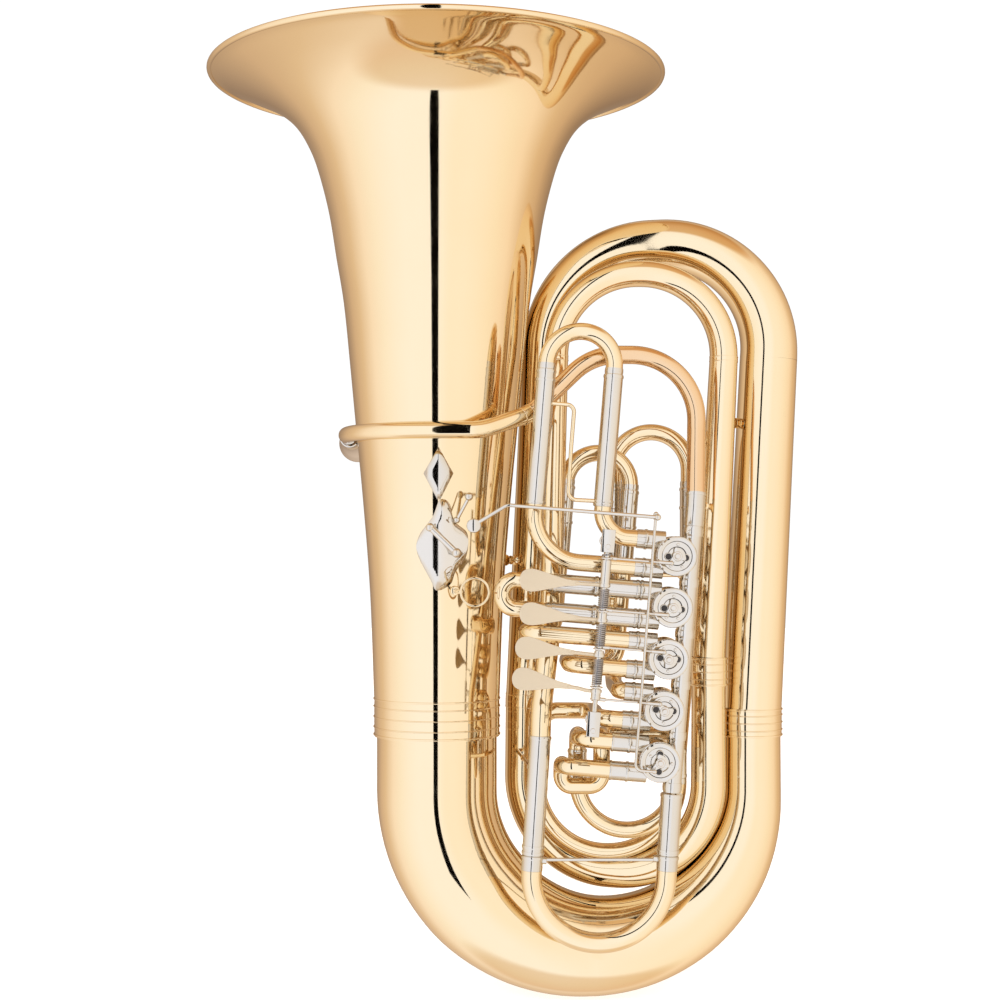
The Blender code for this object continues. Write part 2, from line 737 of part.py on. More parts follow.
def fifth_valve_tubing():
    top, foot = VALVE_Z[4] + PORT_Z, VALVE_Z[4] - PORT_Z
    left, right = SLIDE_5_X
    turn = block(-0.0752, SLIDE_5_Y, top)
    near = sleeve_tube(
        (
            (block(TUBE_START_X, VALVE_Y, top), 0),
            (block(-0.0752, VALVE_Y, top), 0.0140),
            (turn, 0.0120),
            ((turn.x, SLIDE_5_Y, 0.2480), 0),
        ),
        (turn.x, SLIDE_5_Y, SLIDE_5_FOOT),
        0.0240,
    )
    low_turn = block(-0.0890, VALVE_Y, foot)
    middle_y, low_z, high_z, rise_x = -0.0580, 0.2154, 0.2620, 0.0030
    far = sleeve_tube(
        (
            (block(TUBE_START_X, VALVE_Y, foot), 0),
            (low_turn, 0.0105),
            ((low_turn.x, middle_y, low_turn.z), 0.0100),
            ((low_turn.x, middle_y, low_z), 0.0100),
            ((rise_x, middle_y, low_z), 0.0120),
            ((rise_x, middle_y, high_z), 0.0110),
            ((rise_x, SLIDE_5_Y, high_z), 0.0110),
            ((right, SLIDE_5_Y, high_z), 0.0120),
            ((right, SLIDE_5_Y, 0.2480), 0),
        ),
        (right, SLIDE_5_Y, SLIDE_5_FOOT),
        0.0240,
    )
    tie_x = 0.0030
    tie = brace((turn.x, SLIDE_5_Y, 0.2560), (tie_x, SLIDE_5_Y, 0.2600))
    add("valve_5_tubing", "brass", combine(near, [far, tie]))
    insert, gap = SLIDE_5_FOOT + 0.0230, SLIDE_5_FOOT - GAP
    slide = slide_bow(
        (turn.x, SLIDE_5_Y, insert),
        (right, SLIDE_5_Y, insert),
        (turn.x, SLIDE_5_Y, gap),
        (right, SLIDE_5_Y, gap),
        INNER_RADIUS,
    )
    add("valve_slide_5", "brass", slide)


def on_main(side, z):
    """A point on the left (0) or right (1) leg's centre line of the main tuning slide."""
    x, start_z = (MAIN_LEFT, MAIN_RIGHT)[side]
    return Vector((x - (start_z - z) * MAIN_LEAN, VALVE_Y, z))


def main_slide():
    """The main tuning slide and the two fixed sleeves that it runs in."""
    outer, bore, inner = 0.0102, 0.0092, 0.0088
    for side, name, top in ((0, "main_sleeve_left", MAIN_LEFT[1]), (1, "main_sleeve_right", MAIN_RIGHT[1])):
        sleeve = rod(on_main(side, top), on_main(side, MAIN_SLEEVE_END), outer, 16)
        hollow = rod(on_main(side, top + 0.005), on_main(side, MAIN_SLEEVE_END - 0.005), bore, 16)
        add(name, "nickel", combine(sleeve, [hollow], "DIFFERENCE"))
    start = MAIN_SLEEVE_END - GAP
    ends = [on_main(side, start) for side in (0, 1)]
    way = (on_main(0, start - 0.1) - ends[0]).normalized()
    centre = on_main(0, MAIN_BOW_CENTRE_Z)
    across = on_main(1, MAIN_BOW_CENTRE_Z) - centre
    across -= way * across.dot(way)
    half = across.length / 2
    corners = (
        (ends[0], 0),
        (centre + way * half, half * 0.999),
        (centre + across + way * half, half * 0.999),
        (ends[1], 0),
    )
    bow = tube(corners, 0.0098, sides=10, step_deg=22.5)
    legs = [rod(on_main(side, 0.1900), on_main(side, start - 0.002), inner, 12) for side in (0, 1)]
    tie = rod(on_main(0, 0.1495), on_main(1, 0.1495), 0.0018, 8)
    add("main_tuning_slide", "brass", combine(bow, [*legs, tie]))


def paddle_outline(head_x, head_z, head_radius=0.0104, neck=0.0021):
    """A teardrop head that narrows to the lever's arm, seen from the front, from the hub at (0, 0)."""
    points = []
    for number in range(9):
        angle = math.radians(60 + 30 * number)
        points.append((head_x + head_radius * math.cos(angle), head_z + head_radius * math.sin(angle)))
    middle_x = head_x * 0.55
    middle_z = head_z * 0.7
    points += [(middle_x, middle_z - 0.0035), (0.0, -neck), (0.0, neck), (middle_x, middle_z + 0.0035)]
    return points


def levers(parent):
    """Four finger levers on one axle, each with a paddle, a hub and the crank that moves its rod."""
    for index, (arm_z, side, paddle_x, paddle_z) in enumerate(LEVERS):
        rod_z = VALVE_Z[index] + side * ROD_LIFT - arm_z
        crank_z = rod_z + CRANK_DROP[index]
        low = min(-HUB_HALF, crank_z - HUB_END)
        high = max(HUB_HALF, crank_z + HUB_END)
        hub = rod((0, 0, low), (0, 0, high), HUB_RADIUS, 12)
        plate = slab(paddle_outline(paddle_x - HUB_X, paddle_z - arm_z), -0.0010, 0.0010)
        crank = box((-0.0022, 0, crank_z - 0.0010), (0.0022, ROD_Y - HUB_Y + 0.0010, crank_z + 0.0010))
        bore = rod((0, 0, low - 0.01), (0, 0, high + 0.01), AXLE_RADIUS + 0.0002, 12)
        mesh = combine(combine(hub, [plate, crank]), [bore], "DIFFERENCE")
        place = (HUB_X, HUB_Y, arm_z)
        add(f"lever_{index + 1}", "lever_nickel", mesh, place, parent)
        start = PIN_RADIUS * math.sqrt(0.5)
        link = rod((HUB_X - 0.0015, ROD_Y, rod_z + arm_z), (-start, ROD_Y, rod_z + arm_z), 0.0013, 8)
        add(f"link_rod_{index + 1}", "nickel", link, (0, 0, 0), parent)


def lever_supports(parent):
    """The levers' axle and the two posts that carry it."""
    axle = rod((HUB_X, HUB_Y, -0.0700), (HUB_X, HUB_Y, 0.1120), AXLE_RADIUS, 10)
    add("lever_axle", "nickel", axle, (0, 0, 0), parent)
    for name, low, high, foot in (
        ("lever_post_top", 0.0945, 0.1155, -0.0915),
        ("lever_post_bottom", -0.0735, -0.0505, -0.0915),
    ):
        plate = box((HUB_X - 0.0060, HUB_Y - 0.0035, low), (HUB_X + 0.0060, HUB_Y + 0.0045, high))
        middle = (low + high) / 2
        strut = box((HUB_X - 0.0040, HUB_Y, middle - 0.003), (HUB_X + 0.0040, foot, middle + 0.003))
        bore = rod((HUB_X, HUB_Y, low - 0.01), (HUB_X, HUB_Y, high + 0.01), AXLE_RADIUS + 0.0004, 10)
        mesh = combine(combine(plate, [strut]), [bore], "DIFFERENCE")
        add(name, "nickel", mesh, (0, 0, 0), parent)


def thumb_trigger(parent):
    """The thumb lever for the fifth valve, and the long link from its crank to the fifth rotor."""
    tip = THUMB_LINK_Y - THUMB_Y
    shaft = tube(
        (
            ((THUMB_LINK_X, 0, 0), 0),
            ((-0.1610, 0, 0), 0.0040),
            ((-0.1905, 0.0100, -0.0210), 0),
        ),
        0.0018,
    )
    crank = rod((THUMB_LINK_X, 0, 0), (THUMB_LINK_X, tip - 0.0020, 0), 0.0016, 8)
    touch = rod((-0.1900, 0.0060, -0.0210), (-0.1900, 0.0140, -0.0210), 0.0085, 12)
    lever = combine(shaft, [crank, touch])
    add("thumb_lever", "nickel", lever, (0, THUMB_Y, THUMB_Z), parent)
    foot = VALVE_Z[4] - THUMB_PIN
    link = tube(
        (
            ((THUMB_LINK_X, THUMB_LINK_Y, THUMB_Z + 0.0040), 0),
            ((THUMB_LINK_X, THUMB_LINK_Y, foot), 0.0060),
            ((-THUMB_PIN, THUMB_LINK_Y, foot), 0),
        ),
        0.0014,
    )
    add("thumb_link", "nickel", link, (0, 0, 0), parent)


PLATE_SHIFT = 0.0040  # the plate sits a little to the right of the bell's middle
PLATE_OUTLINE = (  # x from the bell's axis, height: a small lozenge above a larger flared shield
    (0.0000, 0.5350),
    (0.0130, 0.5130),
    (0.0030, 0.4900),
    (0.0110, 0.4840),
    (0.0160, 0.4620),
    (0.0250, 0.4450),
    (0.0160, 0.4230),
    (0.0080, 0.4090),
    (-0.0050, 0.4050),
    (-0.0110, 0.4200),
    (-0.0200, 0.4350),
    (-0.0200, 0.4520),
    (-0.0110, 0.4720),
    (-0.0020, 0.4900),
    (-0.0140, 0.5130),
)


def bell_fittings():
    """The hand-guard plate on the bell's stem, the thumb ring, and the short braces between branches."""
    lift, thick = 0.0004, 0.0008
    heights = [0.3985, 0.4896, 0.5698]
    radii = {z: radius for z, radius in BELL_OUTLINE}
    outer = [(radii[z] + lift + thick, z) for z in reversed(heights)]
    inner = [(radii[z] + lift, z) for z in heights]
    shell = turned(outer + inner, 32)
    cutter = slab([(x + PLATE_SHIFT, z) for x, z in PLATE_OUTLINE], -0.1000, -0.0400)
    plate = combine(shell, [cutter], "INTERSECT")
    add("bell_plate", "nickel", moved(plate, (BELL_X, 0, 0)))
    hoop = ring(0.0140, 0.0120, -0.0015, 0.0015, 20)
    hoop.transform(Matrix.Translation((-0.1173, -0.1000, 0.4017)) @ Matrix.Rotation(math.pi / 2, 4, "X"))
    post = rod((-0.1305, -0.1000, 0.4017), (-0.1370, -0.0645, 0.4017), 0.0022, 8)
    add("thumb_ring", "brass", combine(hoop, [post]))
    add("branch_brace", "brass", rod((0.1372, -0.0100, 0.5650), (0.1390, -0.0085, 0.5650), 0.0040, 10))
    bell_side = (-0.0868, 0.0165, 0.4300)
    add("bell_brace", "brass", rod(bell_side, (-0.0795, 0.0240, 0.4300), 0.0040, 10))


def build():
    clear_scene()
    bell()
    big_bow()
    main_branches()
    leadpipe_group()
    group = bpy.data.objects.new("valve_block", None)
    group.location = (BLOCK_X, 0, BLOCK_Z)
    group.rotation_euler = (0, BLOCK_ANGLE, 0)
    bpy.data.collections["tuba"].objects.link(group)
    valves(group)
    first_valve_tubing()
    second_valve_tubing()
    third_valve_tubing()
    fourth_valve_tubing()
    fifth_valve_tubing()
    main_slide()
    levers(group)
    lever_supports(group)
    thumb_trigger(group)
    bell_fittings()


build()
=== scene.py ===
"""The tuba's finished surface: every tube, valve, lever and slide at full smoothness, in studio light.

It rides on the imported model's bodies. Sizes repeat the design's own, in metres: x to the right, +Y towards
the player, +Z up, and "block" coordinates for the valve group, which leans a few degrees.
"""

import math

import bmesh
import bpy
from mathutils import Matrix, Vector

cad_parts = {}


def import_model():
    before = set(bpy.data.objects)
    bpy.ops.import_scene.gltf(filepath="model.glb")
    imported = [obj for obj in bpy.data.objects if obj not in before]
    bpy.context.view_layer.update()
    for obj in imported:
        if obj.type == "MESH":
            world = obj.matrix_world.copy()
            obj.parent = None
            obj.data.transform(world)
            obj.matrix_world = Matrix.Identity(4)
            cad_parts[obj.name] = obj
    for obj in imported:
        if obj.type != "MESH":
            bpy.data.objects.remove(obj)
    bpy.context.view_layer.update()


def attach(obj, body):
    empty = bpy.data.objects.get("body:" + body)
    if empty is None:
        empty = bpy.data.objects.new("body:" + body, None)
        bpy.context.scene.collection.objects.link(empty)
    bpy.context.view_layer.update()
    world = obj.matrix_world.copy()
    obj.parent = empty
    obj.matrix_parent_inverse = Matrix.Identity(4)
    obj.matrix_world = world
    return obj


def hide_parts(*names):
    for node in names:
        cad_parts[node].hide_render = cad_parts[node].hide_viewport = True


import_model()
ROOT = "tuba_body"
BACK = Vector((0, 1, 0))
UP = Vector((0, 0, 1))

# The bell and the large bow under it.
BELL_X = -0.1564
BELL_FOOT_Z = 0.2940
BELL_RIM_RADIUS = 0.2248
BELL_RIM_Z = 0.9102
BELL_WALL = 0.0008
BEAD_RADIUS = 0.0028
BOW_X = 0.1550
BOW_MIDDLE_X = -0.0014
BOW_CENTRE_Z = 0.2040
FERRULE_Z = 0.2570
BOW_LEG_TOP_Z = 0.2850

# The ends of the main branches.
OUTER_FOOT_X = 0.1548
OUTER_TOP = (0.1716, 0.0, 0.6280)
BACK_TOP = (-0.0505, 0.035, 0.6312)
BACK_FOOT = (-0.0697, 0.035, 0.2883)
INNER_FOOT = (0.1094, -0.0235, 0.3360)
INNER_TOP = (0.1246, -0.020, 0.6265)
FRONT_TOP = (-0.0393, -0.020, 0.6275)

# The valve block, with x across it and z along it from the middle valve's axis.
BLOCK_ANGLE = math.radians(4.67)
BLOCK_X = 0.0626
BLOCK_Z = 0.3391
ACROSS = Vector((math.cos(BLOCK_ANGLE), 0, -math.sin(BLOCK_ANGLE)))
ALONG = Vector((math.sin(BLOCK_ANGLE), 0, math.cos(BLOCK_ANGLE)))
BLOCK = Matrix.Translation((BLOCK_X, 0, BLOCK_Z)) @ Matrix.Rotation(BLOCK_ANGLE, 4, "Y")
VALVE_Y = -0.080
PITCH = 0.0481
PORT_Z = 0.0135
VALVE_Z = [PITCH * (2 - index) for index in range(5)]
CASING_RADIUS = 0.0186
CASING_FRONT_Y = -0.0970
CASING_BACK_Y = -0.0545
CAP_FRONT_Y = -0.1045
KNURLS = 40
SHAFT_RADIUS = 0.0030
ARM_Y = -0.1065
BUMPER_DEGREES = 96
BUMPER_REACH = 0.0082
SCREW_REACH = 0.0108
WINDWAY_X = 0.0155
WINDWAY_RADIUS = 0.0084
PORT_X = -0.0300

# The leadpipe and what plugs into it.
MOUTH_X = -0.2456
MOUTH_Z = 0.5530
RECEIVER_Y = 0.0300
MOUTHPIECE_Y = 0.0450
PIPE_END_Z = VALVE_Z[0] + 0.030
PIPE_RADII = (0.0076, 0.0088)
PIPE_TAPER_SHARE = 0.625  # the share of the pipe's points over which it widens
PIPE_SLEEVE_RADIUS = 0.0093
PIPE_SLEEVE_TOP = 0.5370
PIPE_KNEE = 0.1440  # where its last run bends, along the block

# Valve tubing and slides. TOP or FOOT is where a slide meets its sleeves, and START near where they begin.
TUBE_RADIUS = 0.0081
SLEEVE_RADIUS = 0.0090
LEG_RADIUS = 0.0074
TUBE_START_X = -0.0302
PORT_SLEEVE_X = -0.0370
PORT_SLEEVE_5_X = -0.0440
SLIDE_1_X = (-0.1345, -0.0710)
SLIDE_1_TOP = 0.2620
SLIDE_2_END = -0.1120
SLIDE_3_X = (-0.1050, -0.0420)
SLIDE_3_Y = -0.0100
SLIDE_3_TURNS = (-0.1320, -0.0900)
SLIDE_3_START = 0.0760
SLIDE_3_TOP = 0.1570
SLIDE_4_X = (0.0185, 0.0942)
SLIDE_4_Y = 0.0120
SLIDE_4_START = 0.4000
SLIDE_4_TOP = 0.5025
LOOP_4_X = (-0.0576, 0.0812)
LOOP_4_Y = -0.0120
LOOP_4_FOOT = 0.1443
SLIDE_5_TURN_X = -0.0752
SLIDE_5_RIGHT_X = 0.0775
SLIDE_5_Y = -0.0350
SLIDE_5_FOOT = 0.2200
SLIDE_5_START = 0.2460
HALF_TURN = 0.999  # a bow's two bends stop just short of meeting

# The main tuning slide, whose legs lean a little.
MAIN_LEAN = 0.0641
MAIN_LEFT = (-0.0560, 0.2660)
MAIN_RIGHT = (0.0677, 0.2115)
MAIN_SLEEVE_END = 0.1535
MAIN_SLEEVE_RADIUS = 0.0101
MAIN_LEG_RADIUS = 0.0088
MAIN_LEG_TOP_Z = 0.1880
MAIN_STAY_Z = 0.1490
MAIN_STAY_SOCKET = 0.0135
MAIN_BOW_CENTRE_Z = 0.1380

# The levers, their axle and the rods to the rotors.
HUB_X = -0.0670
HUB_Y = -0.1363
HUB_RADIUS = 0.0044
HUB_END = 0.0022
AXLE_ENDS = (-0.0700, 0.1120)
POSTS = (  # name, foot and head
    ("lever_post_top", 0.0945, 0.1155),
    ("lever_post_bottom", -0.0735, -0.0505),
)
ROD_Y = -0.1105
ROD_LIFT = 0.0068
CRANK_GAP = 0.0040  # between a crank and its rod, along the axle
PIN_RADIUS = 0.00764
PIN_REACH = PIN_RADIUS * math.sqrt(0.5)
LEVERS = (  # arm height, side of the rotor axis the rod works on, paddle x and z
    (0.0646, -1, -0.1342, 0.0639),
    (0.0329, -1, -0.1317, 0.0334),
    (0.0011, 1, -0.1331, 0.0021),
    (-0.0319, 1, -0.1337, -0.0261),
)
PADDLE_RADIUS = 0.0104
SPRING_HEAD = 0.0934
SPRING_PITCH = 0.0019
SPRING_RADIUS = 0.0041
SPRING_WIRE = 0.0008
THUMB_Y = -0.1402
THUMB_Z = 0.1300
THUMB_LINK_X = -0.0243
THUMB_LINK_Y = -0.1205
THUMB_PIN = 0.0064
TOUCH_X = -0.1900
TOUCH_DROP = 0.0210

# The fittings on the bell.
PLATE_SHIFT = 0.0045  # the plates sit this far right of the bell's front line
PLATE_LIFT = 0.0004
GUARD_TOP = Vector((-0.1600, -0.0770, 0.4620))
GUARD_FOOT = Vector((-0.1350, -0.0800, 0.4380))
SPUR_FOOT = Vector((-0.1350, -0.0680, 0.4690))
SPUR_TIP = Vector((-0.1235, -0.0790, 0.4900))
RING_CENTRE = Vector((-0.1173, -0.1000, 0.4017))
RING_RADIUS = 0.0130
RING_FOOT = Vector((-0.1368, -0.0640, 0.4017))


# ---------------- mesh tools

COIL_STEPS = 14  # to one turn of a spring
CURVE_STEPS = 6  # between two points of a smooth outline


def finished(work, name):
    """The mesh that a bmesh has built."""
    mesh = bpy.data.meshes.new(name)
    work.to_mesh(mesh)
    work.free()
    return mesh


def placed(mesh, place):
    """The mesh, moved by a matrix."""
    mesh.transform(place)
    return mesh


def mesh_from(vertices, faces):
    """A mesh whose doubled points are merged and whose faces look outwards."""
    mesh = bpy.data.meshes.new("mesh")
    mesh.from_pydata([tuple(v) for v in vertices], [], faces)
    work = bmesh.new()
    work.from_mesh(mesh)
    bmesh.ops.remove_doubles(work, verts=work.verts, dist=1e-6)
    bmesh.ops.recalc_face_normals(work, faces=work.faces)
    work.to_mesh(mesh)
    work.free()
    return mesh


def sweep(points, radii, sides):
    """A round bar through the points, closed at both ends. radii is one radius for each point."""
    points = [Vector(p) for p in points]
    count = len(points)
    normal = None
    vertices = []
    for index, point in enumerate(points):
        ahead = points[min(index + 1, count - 1)] - points[max(index - 1, 0)]
        ahead.normalize()
        if normal is None:
            normal = ahead.orthogonal().normalized()
        normal = (normal - ahead * normal.dot(ahead)).normalized()
        side = ahead.cross(normal)
        for number in range(sides):
            angle = math.tau * number / sides
            vertices.append(point + (normal * math.cos(angle) + side * math.sin(angle)) * radii[index])
    faces = []
    for index in range(count - 1):
        for number in range(sides):
            following = (number + 1) % sides
            low, high = index * sides, (index + 1) * sides
            faces.append((low + number, low + following, high + following, high + number))
    faces.append(tuple(range(sides - 1, -1, -1)))
    faces.append(tuple(range((count - 1) * sides, count * sides)))
    return mesh_from(vertices, faces)


def bend_points(before, here, after, bend, step_deg):
    """The arc that rounds one corner off."""
    back = (before - here).normalized()
    ahead = (after - here).normalized()
    turn = math.pi - back.angle(ahead)
    start = here + back * bend * math.tan(turn / 2)
    centre = here + (back + ahead).normalized() * bend / math.cos(turn / 2)
    axis = ahead.cross(back).normalized()
    count = max(2, math.ceil(math.degrees(turn) / step_deg))
    turns = [Matrix.Rotation(turn * number / count, 3, axis) for number in range(count + 1)]
    return [centre + part @ (start - centre) for part in turns]


def rounded(corners, step_deg=4.0):
    """Points along straight runs joined by arcs. Each corner is (point, bend radius)."""
    places = [Vector(point) for point, _ in corners]
    points = [places[0]]
    for index in range(1, len(places) - 1):
        before, here, after = places[index - 1 : index + 2]
        points += bend_points(before, here, after, corners[index][1], step_deg)
    points.append(places[-1])
    kept = [points[0]]
    for point in points[1:]:
        if (point - kept[-1]).length > 2e-4:
            kept.append(point)
    return kept


def at_share(share, table):
    """The value at a share, on straight lines between (share, value) pairs."""
    for (low, first), (high, second) in zip(table, table[1:]):
        if share <= high:
            return first + (second - first) * (share - low) / (high - low)
    return table[-1][1]


def tube(corners, radii, sides, step_deg=4.0):
    """A round bar along a rounded route. radii is one radius, or (share of the length, radius) pairs."""
    points = rounded(corners, step_deg)
    if isinstance(radii, float):
        radii = [(0.0, radii), (1.0, radii)]
    lengths = [0.0]
    for first, second in zip(points, points[1:]):
        lengths.append(lengths[-1] + (second - first).length)
    return sweep(points, [at_share(length / lengths[-1], radii) for length in lengths], sides)


def turned(profile, steps, origin, axis=UP):
    """A closed profile of (radius, distance along the axis), turned about the axis."""
    vertices = []
    for number in range(steps):
        angle = math.tau * number / steps
        vertices += [(r * math.cos(angle), r * math.sin(angle), z) for r, z in profile]
    size = len(profile)
    faces = []
    for number in range(steps):
        here, there = number * size, (number + 1) % steps * size
        for index in range(size):
            following = (index + 1) % size
            corners = [here + index, here + following, there + following, there + index]
            if profile[index][0] == 0:
                corners.pop(3)
            if profile[following][0] == 0:
                corners.pop(1)
            if len(corners) > 2:
                faces.append(tuple(corners))
    turn = Vector(axis).normalized().to_track_quat("Z", "Y").to_matrix().to_4x4()
    return placed(mesh_from(vertices, faces), Matrix.Translation(Vector(origin)) @ turn)


def rod(start, end, radius, sides=20, edge=0.0003):
    """A bar between two points, with its end edges eased."""
    start, end = Vector(start), Vector(end)
    length = (end - start).length
    edge = min(edge, radius * 0.4, length * 0.3)
    foot = [(0, 0), (radius - edge, 0), (radius, edge)]
    head = [(radius, length - edge), (radius - edge, length), (0, length)]
    return turned(foot + head, sides, start, end - start)


def collar(centre, axis, radius, width, lift, sides=32):
    """A rounded band round a bar: its radius is the bar's, and it stands lift proud."""
    half = width / 2
    inner = radius - 0.0006
    profile = [(inner, -half), (radius + lift * 0.6, -half)]
    for number in range(5):
        angle = math.radians(-60 + 30 * number)
        profile.append((radius + lift * (0.5 + 0.5 * math.cos(angle)), half * 0.9 * math.sin(angle)))
    profile += [(radius + lift * 0.6, half), (inner, half)]
    return turned(profile, sides, centre, axis)


def ball(centre, radius, sides=16):
    """A smooth ball."""
    work = bmesh.new()
    bmesh.ops.create_uvsphere(work, u_segments=sides, v_segments=sides // 2 + 2, radius=radius)
    bmesh.ops.translate(work, vec=Vector(centre), verts=work.verts)
    return finished(work, "ball")


def hoop(centre, axis, ring_radius, wire_radius, sides):
    """A ring of round wire."""
    wire = []
    for number in range(12):
        angle = math.tau * number / 12
        wire.append((ring_radius + wire_radius * math.cos(angle), wire_radius * math.sin(angle)))
    return turned(wire, sides, centre, axis)


def coil(start, end, radius, wire, turns):
    """A spring wound round the line from start to end."""
    start, end = Vector(start), Vector(end)
    axis = (end - start).normalized()
    side = axis.orthogonal().normalized()
    other = axis.cross(side)
    points = []
    count = turns * COIL_STEPS
    for number in range(count + 1):
        angle = math.tau * turns * number / count
        centre = start.lerp(end, number / count)
        points.append(centre + (side * math.cos(angle) + other * math.sin(angle)) * radius)
    return sweep(points, [wire] * len(points), 6)


def bevelled_box(low, high, edge, place):
    """A block with eased edges, put in its place by a matrix."""
    low, high = Vector(low), Vector(high)
    work = bmesh.new()
    bmesh.ops.create_cube(work, size=1.0)
    bmesh.ops.scale(work, vec=high - low, verts=work.verts)
    bmesh.ops.translate(work, vec=(low + high) / 2, verts=work.verts)
    bmesh.ops.bevel(work, geom=work.edges[:], offset=edge, segments=2, affect="EDGES", profile=0.5)
    return placed(finished(work, "box"), place)


def curve_points(a, b, c, d):
    """Points from b to just before c, on the Catmull-Rom curve through a, b, c and d."""
    bow = 2 * a - 5 * b + 4 * c - d
    twist = 3 * b - a - 3 * c + d
    shares = [number / CURVE_STEPS for number in range(CURVE_STEPS)]
    return [0.5 * (2 * b + (c - a) * t + bow * t * t + twist * t**3) for t in shares]


def smooth_loop(points):
    """A closed curve through the points."""
    points = [Vector(p) for p in points]
    size = len(points)
    out = []
    for index in range(size):
        out += curve_points(*(points[(index + shift) % size] for shift in (-1, 0, 1, 2)))
    return out


def smooth_line(points):
    """An open curve through the points."""
    points = [Vector(p) for p in points]
    points = [2 * points[0] - points[1], *points, 2 * points[-1] - points[-2]]
    out = []
    for four in zip(points, points[1:], points[2:], points[3:]):
        out += curve_points(*four)
    return [*out, points[-2]]


def plate(outline, thickness, edge=0.0004):
    """A flat outline in the local XZ plane, thickened along local Y, with eased edges."""
    work = bmesh.new()
    corners = [work.verts.new((p[0], -thickness / 2, p[1])) for p in outline]
    face = work.faces.new(corners)
    made = bmesh.ops.extrude_face_region(work, geom=[face])
    moved = [item for item in made["geom"] if isinstance(item, bmesh.types.BMVert)]
    bmesh.ops.translate(work, vec=(0, thickness, 0), verts=moved)
    rims = [e for e in work.edges if abs(e.verts[0].co.y - e.verts[1].co.y) < 1e-6]
    bmesh.ops.bevel(work, geom=rims, offset=edge, segments=2, affect="EDGES", profile=0.5)
    bmesh.ops.recalc_face_normals(work, faces=work.faces)
    return finished(work, "plate")


def block(x, y, z):
    """A place given in the block's coordinates."""
    return Vector((BLOCK_X, y, BLOCK_Z)) + ACROSS * x + ALONG * z


def in_row(x, z):
    """A place in the plane of the valves' ports."""
    return block(x, VALVE_Y, z)


def on_axle(z):
    """A place on the levers' axle."""
    return block(HUB_X, HUB_Y, z)


def in_block(x, y, z):
    """The matrix that puts a mesh at a place in the block, leaning with it."""
    return BLOCK @ Matrix.Translation((x, y, z))


def block_route(*stations):
    """Corners for a tube, from (x, y, z, bend radius) in the block."""
    return [(block(x, y, z), bend) for x, y, z, bend in stations]


def pin(x, z, front, back, radius, sides=20):
    """A bar from front to back, at a place in the block."""
    return rod(block(x, front, z), block(x, back, z), radius, sides)


def piece(name, meshes, material, body=ROOT, nodes=(), smooth_deg=35.0):
    """One visible piece: its meshes joined, its material set, riding on its body."""
    work = bmesh.new()
    for mesh in meshes:
        work.from_mesh(mesh)
        bpy.data.meshes.remove(mesh)
    joined = finished(work, name)
    joined.materials.append(material)
    joined.shade_smooth()
    joined.set_sharp_from_angle(angle=math.radians(smooth_deg))
    obj = bpy.data.objects.new(name, joined)
    bpy.context.scene.collection.objects.link(obj)
    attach(obj, body)
    if nodes:
        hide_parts(*nodes)
    return obj


# ---------------- materials


def surface(name, slot):
    """A new material for a slot, with its node tree and shader."""
    made = bpy.data.materials.new(name)
    made.use_nodes = True
    made["slot"] = slot
    return made, made.node_tree, made.node_tree.nodes["Principled BSDF"]


def set_inputs(node, values):
    """Puts values straight on a node's sockets."""
    for socket, value in values.items():
        node.inputs[socket].default_value = value


def noise(tree, scale, detail=2.0, roughness=0.5):
    """A noise in the object's own coordinates."""
    where = tree.nodes.new("ShaderNodeTexCoord")
    made = tree.nodes.new("ShaderNodeTexNoise")
    set_inputs(made, {"Scale": scale, "Detail": detail, "Roughness": roughness})
    tree.links.new(where.outputs["Object"], made.inputs["Vector"])
    return made.outputs["Fac"]


def two_tones(tree, factor, first, second, positions=(0.0, 1.0)):
    """A ramp between two colours, read at a factor."""
    made = tree.nodes.new("ShaderNodeValToRGB")
    for element, position, colour in zip(made.color_ramp.elements, positions, (first, second)):
        element.position = position
        element.color = (*colour, 1)
    tree.links.new(factor, made.inputs["Fac"])
    return made.outputs["Color"]


def metal(name, slot, colour, deep, roughness, coat, ripple, metallic=1.0):
    """Polished metal: a slow drift of tone, handling marks in the gloss, and a faint hand-buffed ripple."""
    made, tree, shader = surface(name, slot)
    set_inputs(shader, {"Metallic": metallic, "Coat Weight": coat, "Coat Roughness": 0.03, "Coat IOR": 1.45})
    tone = two_tones(tree, noise(tree, 9.0, 3.0), deep, colour, (0.30, 0.70))
    tree.links.new(tone, shader.inputs["Base Color"])
    gloss = tree.nodes.new("ShaderNodeMapRange")
    set_inputs(gloss, {"From Min": 0.35, "From Max": 0.75, "To Min": roughness, "To Max": roughness + 0.05})
    tree.links.new(noise(tree, 55.0, 6.0, 0.65), gloss.inputs["Value"])
    tree.links.new(gloss.outputs["Result"], shader.inputs["Roughness"])
    bump = tree.nodes.new("ShaderNodeBump")
    set_inputs(bump, {"Strength": ripple, "Distance": 0.001})
    tree.links.new(noise(tree, 16.0), bump.inputs["Height"])
    tree.links.new(bump.outputs["Normal"], shader.inputs["Normal"])
    return made


def rubber():
    """The near-black bumpers that stop the rotors."""
    made, tree, shader = surface("bumper_rubber", "nickel_silver")
    shader.inputs["Roughness"].default_value = 0.75
    tone = two_tones(tree, noise(tree, 900.0), (0.012, 0.010, 0.010), (0.050, 0.042, 0.036))
    tree.links.new(tone, shader.inputs["Base Color"])
    return made


